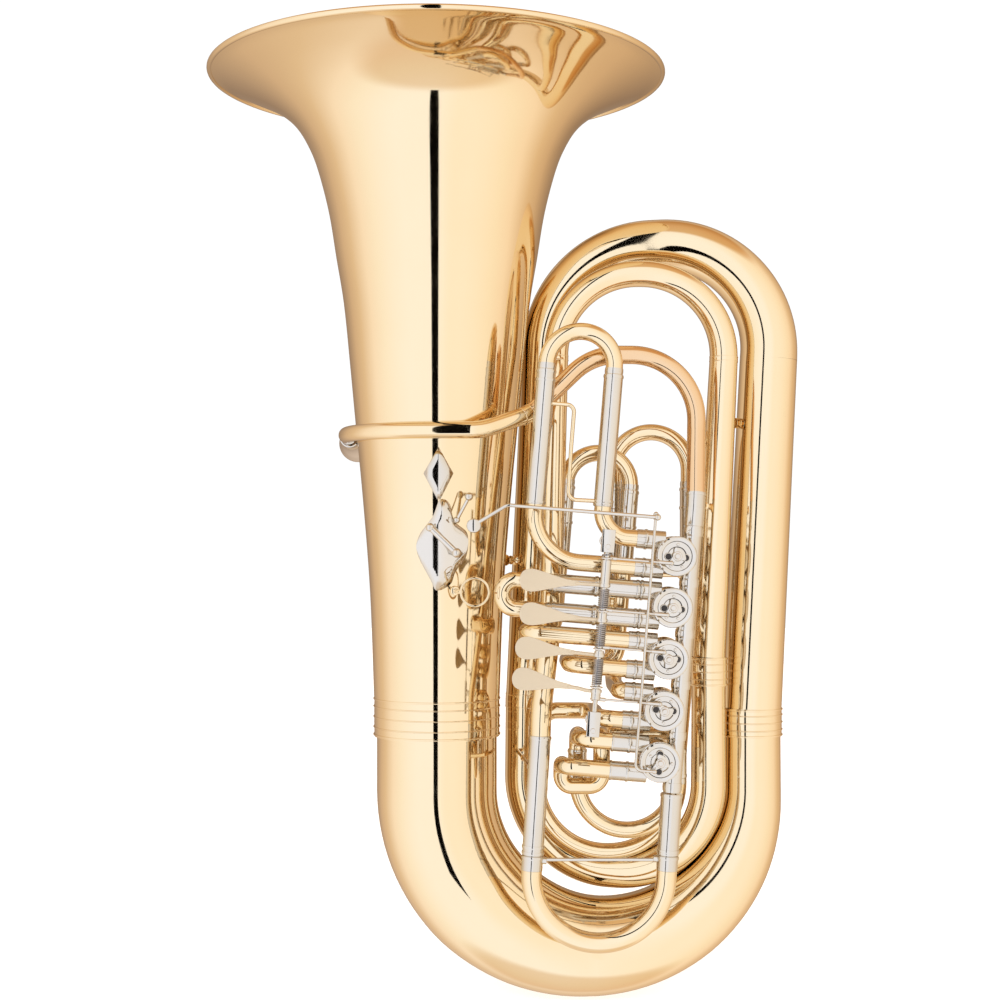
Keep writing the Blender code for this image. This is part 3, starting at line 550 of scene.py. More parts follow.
BRASS = metal(
    "lacquered_brass", "brass_lacquer", (0.83, 0.66, 0.415), (0.82, 0.645, 0.395),
    roughness=0.035, coat=0.10, ripple=0.05,
)
ROSE = metal(
    "lacquered_rose_brass", "rose_brass", (0.77, 0.525, 0.295), (0.76, 0.50, 0.275),
    roughness=0.045, coat=0.10, ripple=0.05,
)
NICKEL = metal(
    "polished_nickel_silver", "nickel_silver", (0.68, 0.615, 0.52), (0.63, 0.57, 0.475),
    roughness=0.05, coat=0.0, ripple=0.04,
)
SATIN = metal(
    "satin_lever_nickel", "lever_nickel", (0.60, 0.50, 0.355), (0.585, 0.485, 0.34),
    roughness=0.45, coat=0.0, ripple=0.02, metallic=0.40,
)
SPRING = metal(
    "spring_steel", "nickel_silver", (0.42, 0.38, 0.35), (0.35, 0.32, 0.29),
    roughness=0.20, coat=0.0, ripple=0.0,
)
SILVER = metal(
    "silver_plate", "silver_plate", (0.84, 0.81, 0.77), (0.81, 0.78, 0.74),
    roughness=0.04, coat=0.0, ripple=0.03,
)
RUBBER = rubber()


# ---------------- bell and main bugle

BELL_OUTLINE = (  # height, outer radius
    (BELL_FOOT_Z, 0.0620),
    (0.3985, 0.0660),
    (0.4896, 0.0730),
    (0.5698, 0.0807),
    (0.6213, 0.0855),
    (0.6817, 0.0916),
    (0.7272, 0.0990),
    (0.7728, 0.1065),
    (0.8153, 0.1175),
    (0.8400, 0.1275),
    (0.8600, 0.1402),
    (0.8758, 0.1575),
    (0.8895, 0.1805),
    (0.9020, 0.2090),
    (BELL_RIM_Z - 0.0040, 0.2225),
)
BOTTOM_BOW_RADII = (  # share of the bow's length from the bell, outer radius
    (0.00, 0.0592),
    (0.14, 0.0592),
    (0.23, 0.0590),
    (0.32, 0.0579),
    (0.41, 0.0540),
    (0.50, 0.0491),
    (0.58, 0.0458),
    (0.66, 0.0422),
    (0.76, 0.0364),
    (0.82, 0.0326),
    (0.87, 0.0300),
    (1.00, 0.0294),
)
# share of the ferrule's height, width of the band
FERRULE_BANDS = ((0.05, 0.0016), (0.24, 0.0012), (0.50, 0.0012), (0.76, 0.0012), (0.95, 0.0016))


def bell_radius(z):
    """The bell's outer radius at a height."""
    line = smooth_line(BELL_OUTLINE)
    for low, high in zip(line, line[1:]):
        if z <= high.x:
            return low.y + (high.y - low.y) * (z - low.x) / (high.x - low.x)
    return line[-1].y


def bell():
    """The flare: an outer skin, an inner skin one wall away, and the rolled bead between them."""
    line = smooth_line(BELL_OUTLINE)
    outer = [(p.y, p.x) for p in reversed(line)]
    inner = []
    for index, p in enumerate(line):
        way = line[min(index + 1, len(line) - 1)] - line[max(index - 1, 0)]
        way.normalize()
        inner.append((p.y - way.x * BELL_WALL, p.x + way.y * BELL_WALL))
    bead = []
    for number in range(13):
        angle = math.radians(150 - 22.5 * number)
        across = BELL_RIM_RADIUS - BEAD_RADIUS + BEAD_RADIUS * math.cos(angle)
        bead.append((across, BELL_RIM_Z - BEAD_RADIUS + BEAD_RADIUS * math.sin(angle)))
    mesh = turned(inner[:-1] + bead + outer[1:], 144, (BELL_X, 0, 0))
    piece("bell_body", [mesh], BRASS, nodes=["bell"], smooth_deg=50)


def banded_ferrule(node, x, y, low, high, radius):
    """A slip ferrule: a sleeve whose turned bands stand a little proud."""
    meshes = [collar((x, y, (low + high) / 2), UP, radius, high - low, 0.0006, 72)]
    for share, width in FERRULE_BANDS:
        z = low + (high - low) * share
        meshes.append(collar((x, y, z), UP, radius + 0.0006, width, 0.0009, 72))
    piece(f"{node}_bands", meshes, BRASS, nodes=[node])


def bottom_bow():
    """The large U at the foot, which narrows from the bell to the outer branch, and its two ferrules."""
    left_x, right_x = BOW_MIDDLE_X - BOW_X, BOW_MIDDLE_X + BOW_X
    foot_z = BOW_CENTRE_Z - BOW_X
    bend = BOW_X - 0.0001
    bell_end = BELL_FOOT_Z + 0.002
    corners = (
        ((left_x, 0, bell_end), 0),
        ((left_x, 0, foot_z), bend),
        ((right_x, 0, foot_z), bend),
        ((right_x, 0, BOW_LEG_TOP_Z), 0),
    )
    piece("bottom_bow_body", [tube(corners, BOTTOM_BOW_RADII, 72, 3)], BRASS, nodes=["bottom_bow"])
    banded_ferrule("bell_ferrule", BELL_X, 0, FERRULE_Z, bell_end, 0.0614)
    banded_ferrule("bottom_bow_ferrule", right_x, 0, FERRULE_Z, BOW_LEG_TOP_Z, 0.0303)


def branch(node, corners, radii, sides, step_deg=4.0):
    """One tube of the main bugle."""
    piece(f"{node}_tube", [tube(corners, radii, sides, step_deg)], BRASS, nodes=[node])


def joint_band(name, centre, axis, radius, width):
    """The slip joint between two branches: a plain sleeve with a bead at each end."""
    centre, axis = Vector(centre), Vector(axis).normalized()
    meshes = [collar(centre, axis, radius - 0.0001, width, 0.0002, 48)]
    for side in (-1, 1):
        meshes.append(collar(centre + axis * side * width * 0.45, axis, radius - 0.0001, 0.0010, 0.0004, 48))
    piece(name, meshes, BRASS)


def outer_branches():
    """The right outside tube, the bow over the top, and the tube down the back of the valves."""
    rise = (((OUTER_FOOT_X, 0, BOW_LEG_TOP_Z - 0.001), 0), (OUTER_TOP, 0))
    branch("outer_branch", rise, [(0, 0.0295), (1, 0.0281)], 56)
    over = (
        (OUTER_TOP, 0),
        ((0.1764, 0.000, 0.7452), 0.1070),
        ((-0.0443, 0.035, 0.7452), 0.1075),
        (BACK_TOP, 0),
    )
    branch("outer_top_bow", over, [(0, 0.0281), (1, 0.0215)], 56, 3)
    branch("back_branch", ((BACK_TOP, 0), (BACK_FOOT, 0)), [(0, 0.0215), (1, 0.0185)], 48)


def inner_branches():
    """The second round of tubes inside the first, which ends in the main slide's left sleeve."""
    under = (
        (BACK_FOOT, 0),
        ((-0.0720, 0.033, 0.1230), 0.0900),
        ((0.1094, -0.0235, 0.1230), 0.0900),
        (INNER_FOOT, 0),
    )
    branch("inner_bottom_bow", under, [(0, 0.0185), (0.8, 0.0170), (1, 0.0162)], 48, 3)
    banded_ferrule("inner_ferrule", INNER_FOOT[0], INNER_FOOT[1], 0.3080, INNER_FOOT[2], 0.0172)
    branch("inner_branch", ((INNER_FOOT, 0), (INNER_TOP, 0)), [(0, 0.0164), (1, 0.0137)], 48)
    over = (
        (INNER_TOP, 0),
        ((0.1246, -0.020, 0.7102), 0.0800),
        ((-0.0393, -0.020, 0.7102), 0.0800),
        (FRONT_TOP, 0),
    )
    branch("inner_top_bow", over, [(0, 0.0136), (1, 0.0120)], 40, 3)
    down = (
        (FRONT_TOP, 0),
        ((-0.0450, -0.050, 0.3732), 0.2),
        ((-0.0553, -0.080, 0.2900), 0.06),
        ((MAIN_LEFT[0], VALVE_Y, MAIN_LEFT[1]), 0),
    )
    branch("front_branch", down, [(0, 0.0120), (1, 0.0098)], 40)


def branch_joints():
    """The narrow bands where the branches meet."""
    joint_band("back_foot_joint", BACK_FOOT, (0.03, 0, 1), 0.0187, 0.014)
    joint_band("inner_top_joint", INNER_TOP, (0.03, 0, 1), 0.0138, 0.005)
    joint_band("front_top_joint", FRONT_TOP, (0, 0, 1), 0.0121, 0.005)


# ---------------- leadpipe and mouthpiece


def leadpipe():
    """The pipe from the mouthpiece round the bell and over the valves: brass first, then rose brass."""
    route = rounded((
        ((MOUTH_X, RECEIVER_Y, MOUTH_Z), 0),
        ((MOUTH_X, -0.0904, MOUTH_Z), 0.0888),
        ((-0.1120, -0.0904, MOUTH_Z), 0.030),
        ((-0.0640, -0.0590, 0.5710), 0.030),
        ((-0.0060, -0.0580, 0.6270), 0.060),
        ((0.0945, -0.0580, 0.6265), 0.062),
        ((0.0935, -0.0580, 0.5580), 0.040),
        (in_row(WINDWAY_X, 0.1500), 0.040),
        (in_row(WINDWAY_X, PIPE_END_Z), 0),
    ))
    count = len(route)
    grow = PIPE_RADII[1] - PIPE_RADII[0]
    radii = [PIPE_RADII[0] + grow * min(1, index / count / PIPE_TAPER_SHARE) for index in range(count)]
    split = next(index for index, point in enumerate(route) if point.x > -0.070)
    gold = sweep(route[: split + 1], radii[: split + 1], 32)
    rose = sweep(route[split:], radii[split:], 32)
    piece("leadpipe_first_half", [gold], BRASS, nodes=["leadpipe"])
    piece("leadpipe_second_half", [rose], ROSE, nodes=["leadpipe"])
    way = route[split + 1] - route[split - 1]
    joint_band("leadpipe_joint", route[split], way, radii[split] + 0.0004, 0.010)
    leadpipe_sleeve(route)


def leadpipe_sleeve(route):
    """The nickel sleeve on the leadpipe's last, slightly bent run into the block."""
    end = route[-1]
    start = next(point for point in route if point.x > 0.07 and point.z < PIPE_SLEEVE_TOP)
    knee = in_row(WINDWAY_X, PIPE_KNEE)
    meshes = [
        rod(end - ALONG * 0.0004, knee, PIPE_SLEEVE_RADIUS, 32),
        tube(((knee, 0), (start, 0)), PIPE_SLEEVE_RADIUS, 32),
        ball(knee, PIPE_SLEEVE_RADIUS, 24),
        collar(start, start - knee, PIPE_SLEEVE_RADIUS, 0.0030, 0.0006),
    ]
    piece("leadpipe_end_sleeve", meshes, NICKEL, nodes=["leadpipe"])


def receiver():
    """The socket that holds the mouthpiece, with a turned ring near its mouth."""
    profile = [
        (0.0086, 0.0), (0.0098, 0.0), (0.0100, 0.002), (0.0094, 0.004), (0.0094, 0.028), (0.0104, 0.0295),
        (0.0107, 0.032), (0.0104, 0.0345), (0.0096, 0.036), (0.0086, 0.036),
    ]
    mesh = turned(profile, 40, (MOUTH_X, RECEIVER_Y, MOUTH_Z), BACK)
    piece("receiver", [mesh], NICKEL, nodes=["mouthpiece_receiver"])


def mouthpiece():
    """The silver mouthpiece: shank, cup and rim outside, and cup, throat and backbore inside."""
    outer = [
        (0.0078, 0.0), (0.0080, 0.020), (0.0083, 0.028), (0.0092, 0.034), (0.0105, 0.044), (0.0118, 0.050),
        (0.0130, 0.056), (0.0152, 0.064), (0.0172, 0.072), (0.0186, 0.079), (0.0196, 0.083), (0.0200, 0.086),
        (0.0199, 0.0885), (0.0188, 0.0899),
    ]
    inner = [
        (0.0172, 0.0897), (0.0164, 0.0885), (0.0160, 0.086), (0.0154, 0.078), (0.0130, 0.068),
        (0.0085, 0.060), (0.0045, 0.055), (0.0040, 0.050), (0.0048, 0.020), (0.0055, 0.0),
    ]
    mesh = turned(outer + inner, 64, (MOUTH_X, MOUTHPIECE_Y, MOUTH_Z), BACK)
    piece("mouthpiece_body", [mesh], SILVER, "mouthpiece", ["mouthpiece"])


# ---------------- valves


def casing(index):
    """A valve's drum, and the stub of each port with the ring where its tubing starts."""
    z = VALVE_Z[index]
    r = CASING_RADIUS
    depth = CASING_BACK_Y - CASING_FRONT_Y
    profile = [
        (0, 0), (r - 0.0012, 0), (r, 0.0008), (r, 0.003), (r - 0.0012, 0.0045), (r - 0.0012, depth - 0.006),
        (r, depth - 0.0045), (r, depth - 0.0012), (r - 0.0010, depth), (0.009, depth),
        (0.0085, depth + 0.0012), (0, depth + 0.0012),
    ]
    meshes = [turned(profile, 56, block(0, CASING_FRONT_Y, z), BACK)]
    for level in (z - PORT_Z, z + PORT_Z):
        meshes.append(rod(in_row(-0.010, level), in_row(PORT_X, level), SLEEVE_RADIUS, 32))
        meshes.append(collar(in_row(PORT_X + 0.0016, level), ACROSS, SLEEVE_RADIUS, 0.0026, 0.0007))
    return meshes


def windway(index):
    """A valve's share of the upright passage through the block, with the bands that join it to the next."""
    z = VALVE_Z[index]
    up = PIPE_END_Z - z if index == 0 else PITCH / 2
    down = 0.0295 if index == 4 else PITCH / 2
    foot, head = in_row(WINDWAY_X, z - down), in_row(WINDWAY_X, z + up)
    levels = [z + 0.024] if index == 0 else []
    levels.append(z - 0.024 if index == 4 else z - PITCH / 2)
    bands = [
        collar(in_row(WINDWAY_X, level), ALONG, WINDWAY_RADIUS, 0.0080, 0.0009) for level in levels
    ]
    return [rod(foot, head, WINDWAY_RADIUS, 32, 0.0001), *bands]


def cap(index):
    """A valve's front cap: a stepped disc with a knurled edge."""
    z = VALVE_Z[index]
    r = CASING_RADIUS
    hole = 0.0038
    depth = CASING_FRONT_Y - 0.0004 - CAP_FRONT_Y
    profile = [
        (hole, 0.0034), (0.0082, 0.0034), (0.0090, 0.0016), (0.0136, 0.0016), (0.0142, 0.0006),
        (r - 0.0016, 0.0), (r - 0.0004, 0.0006), (r, 0.0018), (r - 0.0006, 0.0028),
        (r - 0.0006, depth - 0.001), (r - 0.0014, depth), (hole, depth),
    ]
    meshes = [turned(profile, 64, block(0, CAP_FRONT_Y, z), BACK)]
    rim = r - 0.0004
    for step in range(KNURLS):
        angle = math.tau * step / KNURLS
        place = block(rim * math.cos(angle), CAP_FRONT_Y + 0.0042, z + rim * math.sin(angle))
        meshes.append(ball(place, 0.0007, 6))
    return meshes


def stop_bumpers(index, swing):
    """The two rubber bumpers on the cap that the stop arm meets, their holders, and three screws."""
    away = swing + math.pi
    back = CAP_FRONT_Y + 0.001
    bumpers, holders = [], []
    for degrees in (-BUMPER_DEGREES, BUMPER_DEGREES):
        angle = away + math.radians(degrees)
        x, z = BUMPER_REACH * math.sin(angle), VALVE_Z[index] + BUMPER_REACH * math.cos(angle)
        bumpers.append(pin(x, z, CAP_FRONT_Y - 0.0024, back, 0.0026))
        holders.append(hoop(block(x, CAP_FRONT_Y - 0.0006, z), BACK, 0.0030, 0.0006, 24))
    for degrees in (0, 150, -150):
        angle = away + math.radians(degrees)
        x, z = SCREW_REACH * math.sin(angle), VALVE_Z[index] + SCREW_REACH * math.cos(angle)
        holders.append(pin(x, z, CAP_FRONT_Y - 0.0012, back, 0.0014, 14))
    piece(f"stop_bumpers_{index + 1}", bumpers, RUBBER)
    piece(f"bumper_holders_{index + 1}", holders, NICKEL)


def rotor(index, pin_x, pin_z, pin_front):
    """The part of the rotor that shows: its shaft, the stop arm, the screw and the linkage pin."""
    z = VALVE_Z[index]
    name = f"rotor_{index + 1}"
    meshes = [
        pin(0, z, CASING_FRONT_Y + 0.001, -0.0578, 0.0161, 40),
        pin(0, z, CASING_FRONT_Y + 0.002, ARM_Y - 0.0018, SHAFT_RADIUS, 24),
        collar(block(0, ARM_Y, z), BACK, SHAFT_RADIUS, 0.0022, 0.0018, 28),
        pin(0, z, ARM_Y - 0.0022, ARM_Y - 0.0032, 0.0024),
        pin(pin_x, z + pin_z, ARM_Y + 0.001, pin_front, 0.0014, 16),
    ]
    reach = math.hypot(pin_x, pin_z)
    arm = [
        (-0.0034, -0.002), (0, -0.0042), (0.0034, -0.002), (0.0026, reach * 0.6), (0, reach + 0.0028),
        (-0.0026, reach * 0.6),
    ]
    crown = [(-0.0075, -0.0040), (0, -0.0072), (0.0075, -0.0040), (0.0035, 0.0005), (-0.0035, 0.0005)]
    place = in_block(0, ARM_Y, z) @ Matrix.Rotation(math.atan2(pin_x, pin_z), 4, "Y")
    for outline, thickness in ((arm, 0.0016), (crown, 0.0014)):
        meshes.append(placed(plate(smooth_loop(outline), thickness), place))
    piece(f"{name}_body", meshes, NICKEL, name, [name])


def valves():
    """Each valve's casing, cap and rotor, and its stop bumpers."""
    for index in range(5):
        number = index + 1
        body = casing(index) + windway(index)
        piece(f"valve_{number}_casing", body, NICKEL, nodes=[f"valve_casing_{number}"])
        piece(f"valve_{number}_cap", cap(index), NICKEL, nodes=[f"valve_cap_{number}"])
        if index < len(LEVERS):
            side = LEVERS[index][1]
            rotor(index, -PIN_REACH, side * PIN_REACH, ROD_Y + 0.0019)
            stop_bumpers(index, 0 if side > 0 else math.pi)
        else:
            rotor(index, -THUMB_PIN, -THUMB_PIN, THUMB_LINK_Y + 0.0020)
            stop_bumpers(index, -math.pi / 2)


# ---------------- valve tubing and slides


def ports(number):
    """The heights of a valve's two ports in the block."""
    z = VALVE_Z[number - 1]
    return z + PORT_Z, z - PORT_Z


def sleeve(start, end, radius=SLEEVE_RADIUS, ring_share=None):
    """A nickel sleeve with a bead near each end, and sometimes a band at a share of its length."""
    start, end = Vector(start), Vector(end)
    way = (end - start).normalized()
    meshes = [
        rod(start, end, radius, 36),
        collar(end - way * 0.0022, way, radius, 0.0028, 0.0006),
        collar(start + way * 0.0022, way, radius, 0.0028, 0.0006),
    ]
    if ring_share:
        meshes.append(collar(start.lerp(end, ring_share), way, radius, 0.0030, 0.0008))
    return meshes


def sleeve_pair(starts, ends, ring_share=None):
    """The two sleeves that a slide's legs run in."""
    return [mesh for start, end in zip(starts, ends) for mesh in sleeve(start, end, ring_share=ring_share)]


def slide(number, left, right, way, depth, straight=0.0025):
    """A valve's tuning slide: the bow, and legs that reach this deep into their sleeves."""
    left, right, way = Vector(left), Vector(right), Vector(way).normalized()
    half = (right - left).length / 2
    rise = way * (straight + half)
    corners = ((left, 0), (left + rise, half * HALF_TURN), (right + rise, half * HALF_TURN), (right, 0))
    name = f"valve_slide_{number}"
    piece(f"{name}_bow", [tube(corners, TUBE_RADIUS, 32)], BRASS, name, [name])
    fittings = []
    for end in (left, right):
        fittings.append(rod(end - way * depth, end + way * 0.001, LEG_RADIUS, 28))
        fittings.append(collar(end + way * 0.0030, way, TUBE_RADIUS, 0.0056, 0.0007))
    piece(f"{name}_legs", fittings, NICKEL, name, [name])


def flange_brace(name, first, second, r=0.0020, f=0.0046, nodes=()):
    """A brace: a turned rod of radius r with a waist bead, and a flared foot of radius f at each end."""
    first, second = Vector(first), Vector(second)
    length = (second - first).length
    foot = min(0.0030, length * 0.3)
    profile = [
        (0, 0), (f, 0), (f, 0.0006), (r * 1.5, foot * 0.55), (r, foot), (r, length * 0.46),
        (r * 1.7, length * 0.5), (r, length * 0.54), (r, length - foot), (r * 1.5, length - foot * 0.55),
        (f, length - 0.0006), (f, length), (0, length),
    ]
    piece(name, [turned(profile, 28, first, second - first)], BRASS, nodes=nodes)


def valve_tubing(number, routes, sleeves, port_end=PORT_SLEEVE_X):
    """A valve's brass tubes and nickel sleeves, with one more sleeve round the start of each tube."""
    nodes = [f"valve_{number}_tubing"]
    tubes = [tube(route, TUBE_RADIUS, 32) for route in routes]
    piece(f"valve_{number}_tubes", tubes, BRASS, nodes=nodes)
    for level in ports(number):
        start = in_row(TUBE_START_X + 0.002, level)
        sleeves.append(rod(start, in_row(port_end, level), SLEEVE_RADIUS, 32))
    piece(f"valve_{number}_sleeves", sleeves, NICKEL, nodes=nodes)


def first_valve():
    """Valve 1: a short tube and a wide one, both up to the slide above the block, and a wire stay."""
    top, foot = ports(1)
    left, right = SLIDE_1_X
    short = block_route(
        (TUBE_START_X, VALVE_Y, top, 0),
        (right, VALVE_Y, top, 0.0250),
        (right, VALVE_Y, top + 0.0300, 0),
    )
    wide = block_route(
        (TUBE_START_X, VALVE_Y, foot, 0),
        (left, VALVE_Y, foot, 0.0450),
        (left, VALVE_Y, foot + 0.0550, 0),
    )
    left_end, right_end = in_row(left, SLIDE_1_TOP), in_row(right, SLIDE_1_TOP)
    sleeves = sleeve(in_row(left, 0.1340), left_end, ring_share=0.92)
    sleeves += sleeve(in_row(right, 0.1370), right_end, ring_share=0.04)
    valve_tubing(1, (short, wide), sleeves)
    wire_y = VALVE_Y - 0.002
    wire = block_route(
        (left + 0.0070, wire_y, 0.2300, 0),
        (left + 0.0290, wire_y, 0.2300, 0.0070),
        (left + 0.0290, wire_y, 0.1900, 0.0500),
        (left + 0.0300, wire_y, 0.1410, 0.0080),
        (right + 0.0010, wire_y, 0.1420, 0),
    )
    piece("slide_1_wire_brace", [tube(wire, 0.0019, 16)], BRASS)
    slide(1, left_end, right_end, ALONG, 0.0600, 0.0063)


def second_valve():
    """Valve 2: two sleeves straight out to the left, and the slide across their ends."""
    levels = ports(2)
    starts = [in_row(TUBE_START_X, level) for level in levels]
    ends = [in_row(SLIDE_2_END, level) for level in levels]
    piece("valve_2_sleeves", sleeve_pair(starts, ends, 0.5), NICKEL, nodes=["valve_2_tubing"])
    upper, lower = levels[0] - 0.0085, levels[1] + 0.0085
    flange_brace("valve_2_brace", in_row(-0.055, upper), in_row(-0.055, lower))
    slide(2, *ends, -ACROSS, 0.0360, 0.0335)


def third_valve():
    """Valve 3: both tubes turn back behind the block and then up, to the slide there."""
    top, foot = ports(3)
    left, right = SLIDE_3_X
    far, near = SLIDE_3_TURNS
    upper = block_route(
        (TUBE_START_X, VALVE_Y, top, 0),
        (far, VALVE_Y, top, 0.0140),
        (far, SLIDE_3_Y, top, 0.0130),
        (left, SLIDE_3_Y, top, 0.0125),
        (left, SLIDE_3_Y, top + 0.0640, 0),
    )
    lower = block_route(
        (TUBE_START_X, VALVE_Y, foot, 0),
        (near, VALVE_Y, foot, 0.0140),
        (near, SLIDE_3_Y, foot, 0.0140),
        (right, SLIDE_3_Y, foot, 0.0140),
        (right, SLIDE_3_Y, foot + 0.0920, 0),
    )
    starts = [block(x, SLIDE_3_Y, SLIDE_3_START) for x in SLIDE_3_X]
    ends = [block(x, SLIDE_3_Y, SLIDE_3_TOP) for x in SLIDE_3_X]
    valve_tubing(3, (upper, lower), sleeve_pair(starts, ends, 0.55))
    brace_ends = [block(x, SLIDE_3_Y, 0.060) for x in (left + 0.0085, right - 0.0085)]
    flange_brace("valve_3_brace", *brace_ends)
    slide(3, *ends, ALONG, 0.0450)


def fourth_valve():
    """Valve 4: one tube up behind the block, one down, round below it and up, to the slide above."""
    top, foot = ports(4)
    left, right = SLIDE_4_X
    loop_left, loop_right = LOOP_4_X
    level = in_row(-0.0420, top).z
    back = block(-0.0600, LOOP_4_Y, foot)
    bend = (loop_right - loop_left) / 2 * 0.98
    short = (
        (in_row(TUBE_START_X, top), 0),
        ((left, VALVE_Y, level), 0.0098),
        ((left, SLIDE_4_Y, level), 0.0200),
        ((left, SLIDE_4_Y, SLIDE_4_START + 0.0200), 0),
    )
    long = (
        (in_row(TUBE_START_X, foot), 0),
        (in_row(-0.0600, foot), 0.0150),
        (back, 0.0150),
        ((loop_left, LOOP_4_Y, back.z), 0.0200),
        ((loop_left, LOOP_4_Y, LOOP_4_FOOT), bend),
        ((loop_right, LOOP_4_Y, LOOP_4_FOOT), bend),
        ((loop_right, LOOP_4_Y, 0.2400), 0.0500),
        ((right, SLIDE_4_Y, 0.3600), 0.0500),
        ((right, SLIDE_4_Y, SLIDE_4_START + 0.0200), 0),
    )
    starts = [(x, SLIDE_4_Y, SLIDE_4_START) for x in SLIDE_4_X]
    ends = [(x, SLIDE_4_Y, SLIDE_4_TOP) for x in SLIDE_4_X]
    valve_tubing(4, (short, long), sleeve_pair(starts, ends, 0.8))
    slide(4, *ends, UP, 0.0600, 0.017)
    flange_brace("valve_4_brace", (left + 0.0085, SLIDE_4_Y, 0.415), (right - 0.0085, SLIDE_4_Y, 0.415))


def fifth_valve():
    """Valve 5: one tube back and down, one down, under the block and up again, to the slide below."""
    top, foot = ports(5)
    turn = block(SLIDE_5_TURN_X, SLIDE_5_Y, top)
    low_turn = in_row(-0.0890, foot)
    middle_y, low_z, high_z, rise_x = -0.0580, 0.2154, 0.2620, 0.0030
    short = (
        (in_row(TUBE_START_X, top), 0),
        (in_row(SLIDE_5_TURN_X, top), 0.0140),
        (turn, 0.0120),
        ((turn.x, SLIDE_5_Y, SLIDE_5_START), 0),
    )
    long = (
        (in_row(TUBE_START_X, foot), 0),
        (low_turn, 0.0105),
        ((low_turn.x, middle_y, low_turn.z), 0.0100),
        ((low_turn.x, middle_y, low_z), 0.0100),
        ((rise_x, middle_y, low_z), 0.0120),
        ((rise_x, middle_y, high_z), 0.0110),
        ((rise_x, SLIDE_5_Y, high_z), 0.0110),
        ((SLIDE_5_RIGHT_X, SLIDE_5_Y, high_z), 0.0120),
        ((SLIDE_5_RIGHT_X, SLIDE_5_Y, SLIDE_5_START), 0),
    )
    legs = (turn.x, SLIDE_5_RIGHT_X)
    starts = [(x, SLIDE_5_Y, SLIDE_5_START + 0.0020) for x in legs]
    ends = [(x, SLIDE_5_Y, SLIDE_5_FOOT) for x in legs]
    sleeves = sleeve_pair(starts, ends)
    for level in (top, foot):
        sleeves.append(collar(in_row(PORT_SLEEVE_5_X, level), ACROSS, SLEEVE_RADIUS, 0.0020, 0.0005))
    valve_tubing(5, (short, long), sleeves, PORT_SLEEVE_5_X)
    slide(5, *ends, -UP, 0.0230)


def on_main(side, z):
    """A place on one of the main slide's leaning legs. Side 0 is the left one."""
    x, start_z = (MAIN_LEFT, MAIN_RIGHT)[side]
    return Vector((x - (start_z - z) * MAIN_LEAN, VALVE_Y, z))


def main_sleeves():
    """The two long fixed sleeves that the main slide plugs into."""
    for side, name, top in ((0, "main_sleeve_left", MAIN_LEFT[1]), (1, "main_sleeve_right", MAIN_RIGHT[1])):
        meshes = sleeve(on_main(side, top), on_main(side, MAIN_SLEEVE_END), MAIN_SLEEVE_RADIUS, 0.93)
        piece(f"{name}_tube", meshes, NICKEL, nodes=[name])


def main_slide():
    """The main tuning slide: its legs, ferrules and stay in nickel, and its brass bow."""
    body = "main_tuning_slide"
    way = (on_main(0, 0.1) - on_main(0, 0.2)).normalized()
    start = MAIN_SLEEVE_END - 0.0004
    fittings = []
    for side in (0, 1):
        bow_end = on_main(side, MAIN_BOW_CENTRE_Z + 0.0010)
        stay_end = on_main(side, MAIN_STAY_Z)
        inwards = ACROSS * MAIN_STAY_SOCKET * (1, -1)[side]
        fittings += [
            rod(on_main(side, start), bow_end, MAIN_SLEEVE_RADIUS, 36),
            collar(on_main(side, start - 0.0020), way, MAIN_SLEEVE_RADIUS, 0.0028, 0.0006),
            rod(on_main(side, MAIN_LEG_TOP_Z), on_main(side, start - 0.002), MAIN_LEG_RADIUS, 28),
            rod(stay_end, stay_end + inwards, 0.0034),
        ]
    fittings.append(rod(on_main(0, MAIN_STAY_Z), on_main(1, MAIN_STAY_Z), 0.0018))
    piece("main_slide_ferrules", fittings, NICKEL, body, [body])
    centre = on_main(0, MAIN_BOW_CENTRE_Z)
    across = on_main(1, MAIN_BOW_CENTRE_Z) - centre
    across -= way * across.dot(way)
    half = across.length / 2
    corners = (
        (on_main(0, MAIN_BOW_CENTRE_Z + 0.004), 0),
        (centre + way * half, half * HALF_TURN),
        (centre + across + way * half, half * HALF_TURN),
        (on_main(1, MAIN_BOW_CENTRE_Z + 0.004), 0),
    )
    piece("main_slide_bow", [tube(corners, 0.0097, 40, 3)], BRASS, body, [body])


# ---------------- levers and linkage


def rod_height(index):
    """The height in the block of a lever's link rod."""
    return VALVE_Z[index] + LEVERS[index][1] * ROD_LIFT


def hub_span(index):
    """The foot and head of a lever's hub, and the height of its crank beside the link rod."""
    arm_z = LEVERS[index][0]
    crank_z = rod_height(index) + (CRANK_GAP if index == 3 else -CRANK_GAP)
    return min(arm_z, crank_z) - HUB_END, max(arm_z, crank_z) + HUB_END, crank_z


def paddle_outline(head):
    """A teardrop round the head that narrows towards the hub at (0, 0)."""
    way = (-head).normalized()
    side = Vector((-way.y, way.x)) * PADDLE_RADIUS
    right, left = [], []
    for reach, share in ((0.000, 1.0), (0.010, 0.84), (0.021, 0.56), (0.032, 0.32), (0.044, 0.17)):
        right.append(head + way * reach + side * share)
        left.append(head + way * reach - side * share)
    tip = head - way * PADDLE_RADIUS
    shoulders = [head - way * PADDLE_RADIUS * 0.72 + side * sign * 0.74 for sign in (1, -1)]
    return smooth_loop([tip, shoulders[0], *right, *reversed(left), shoulders[1]])


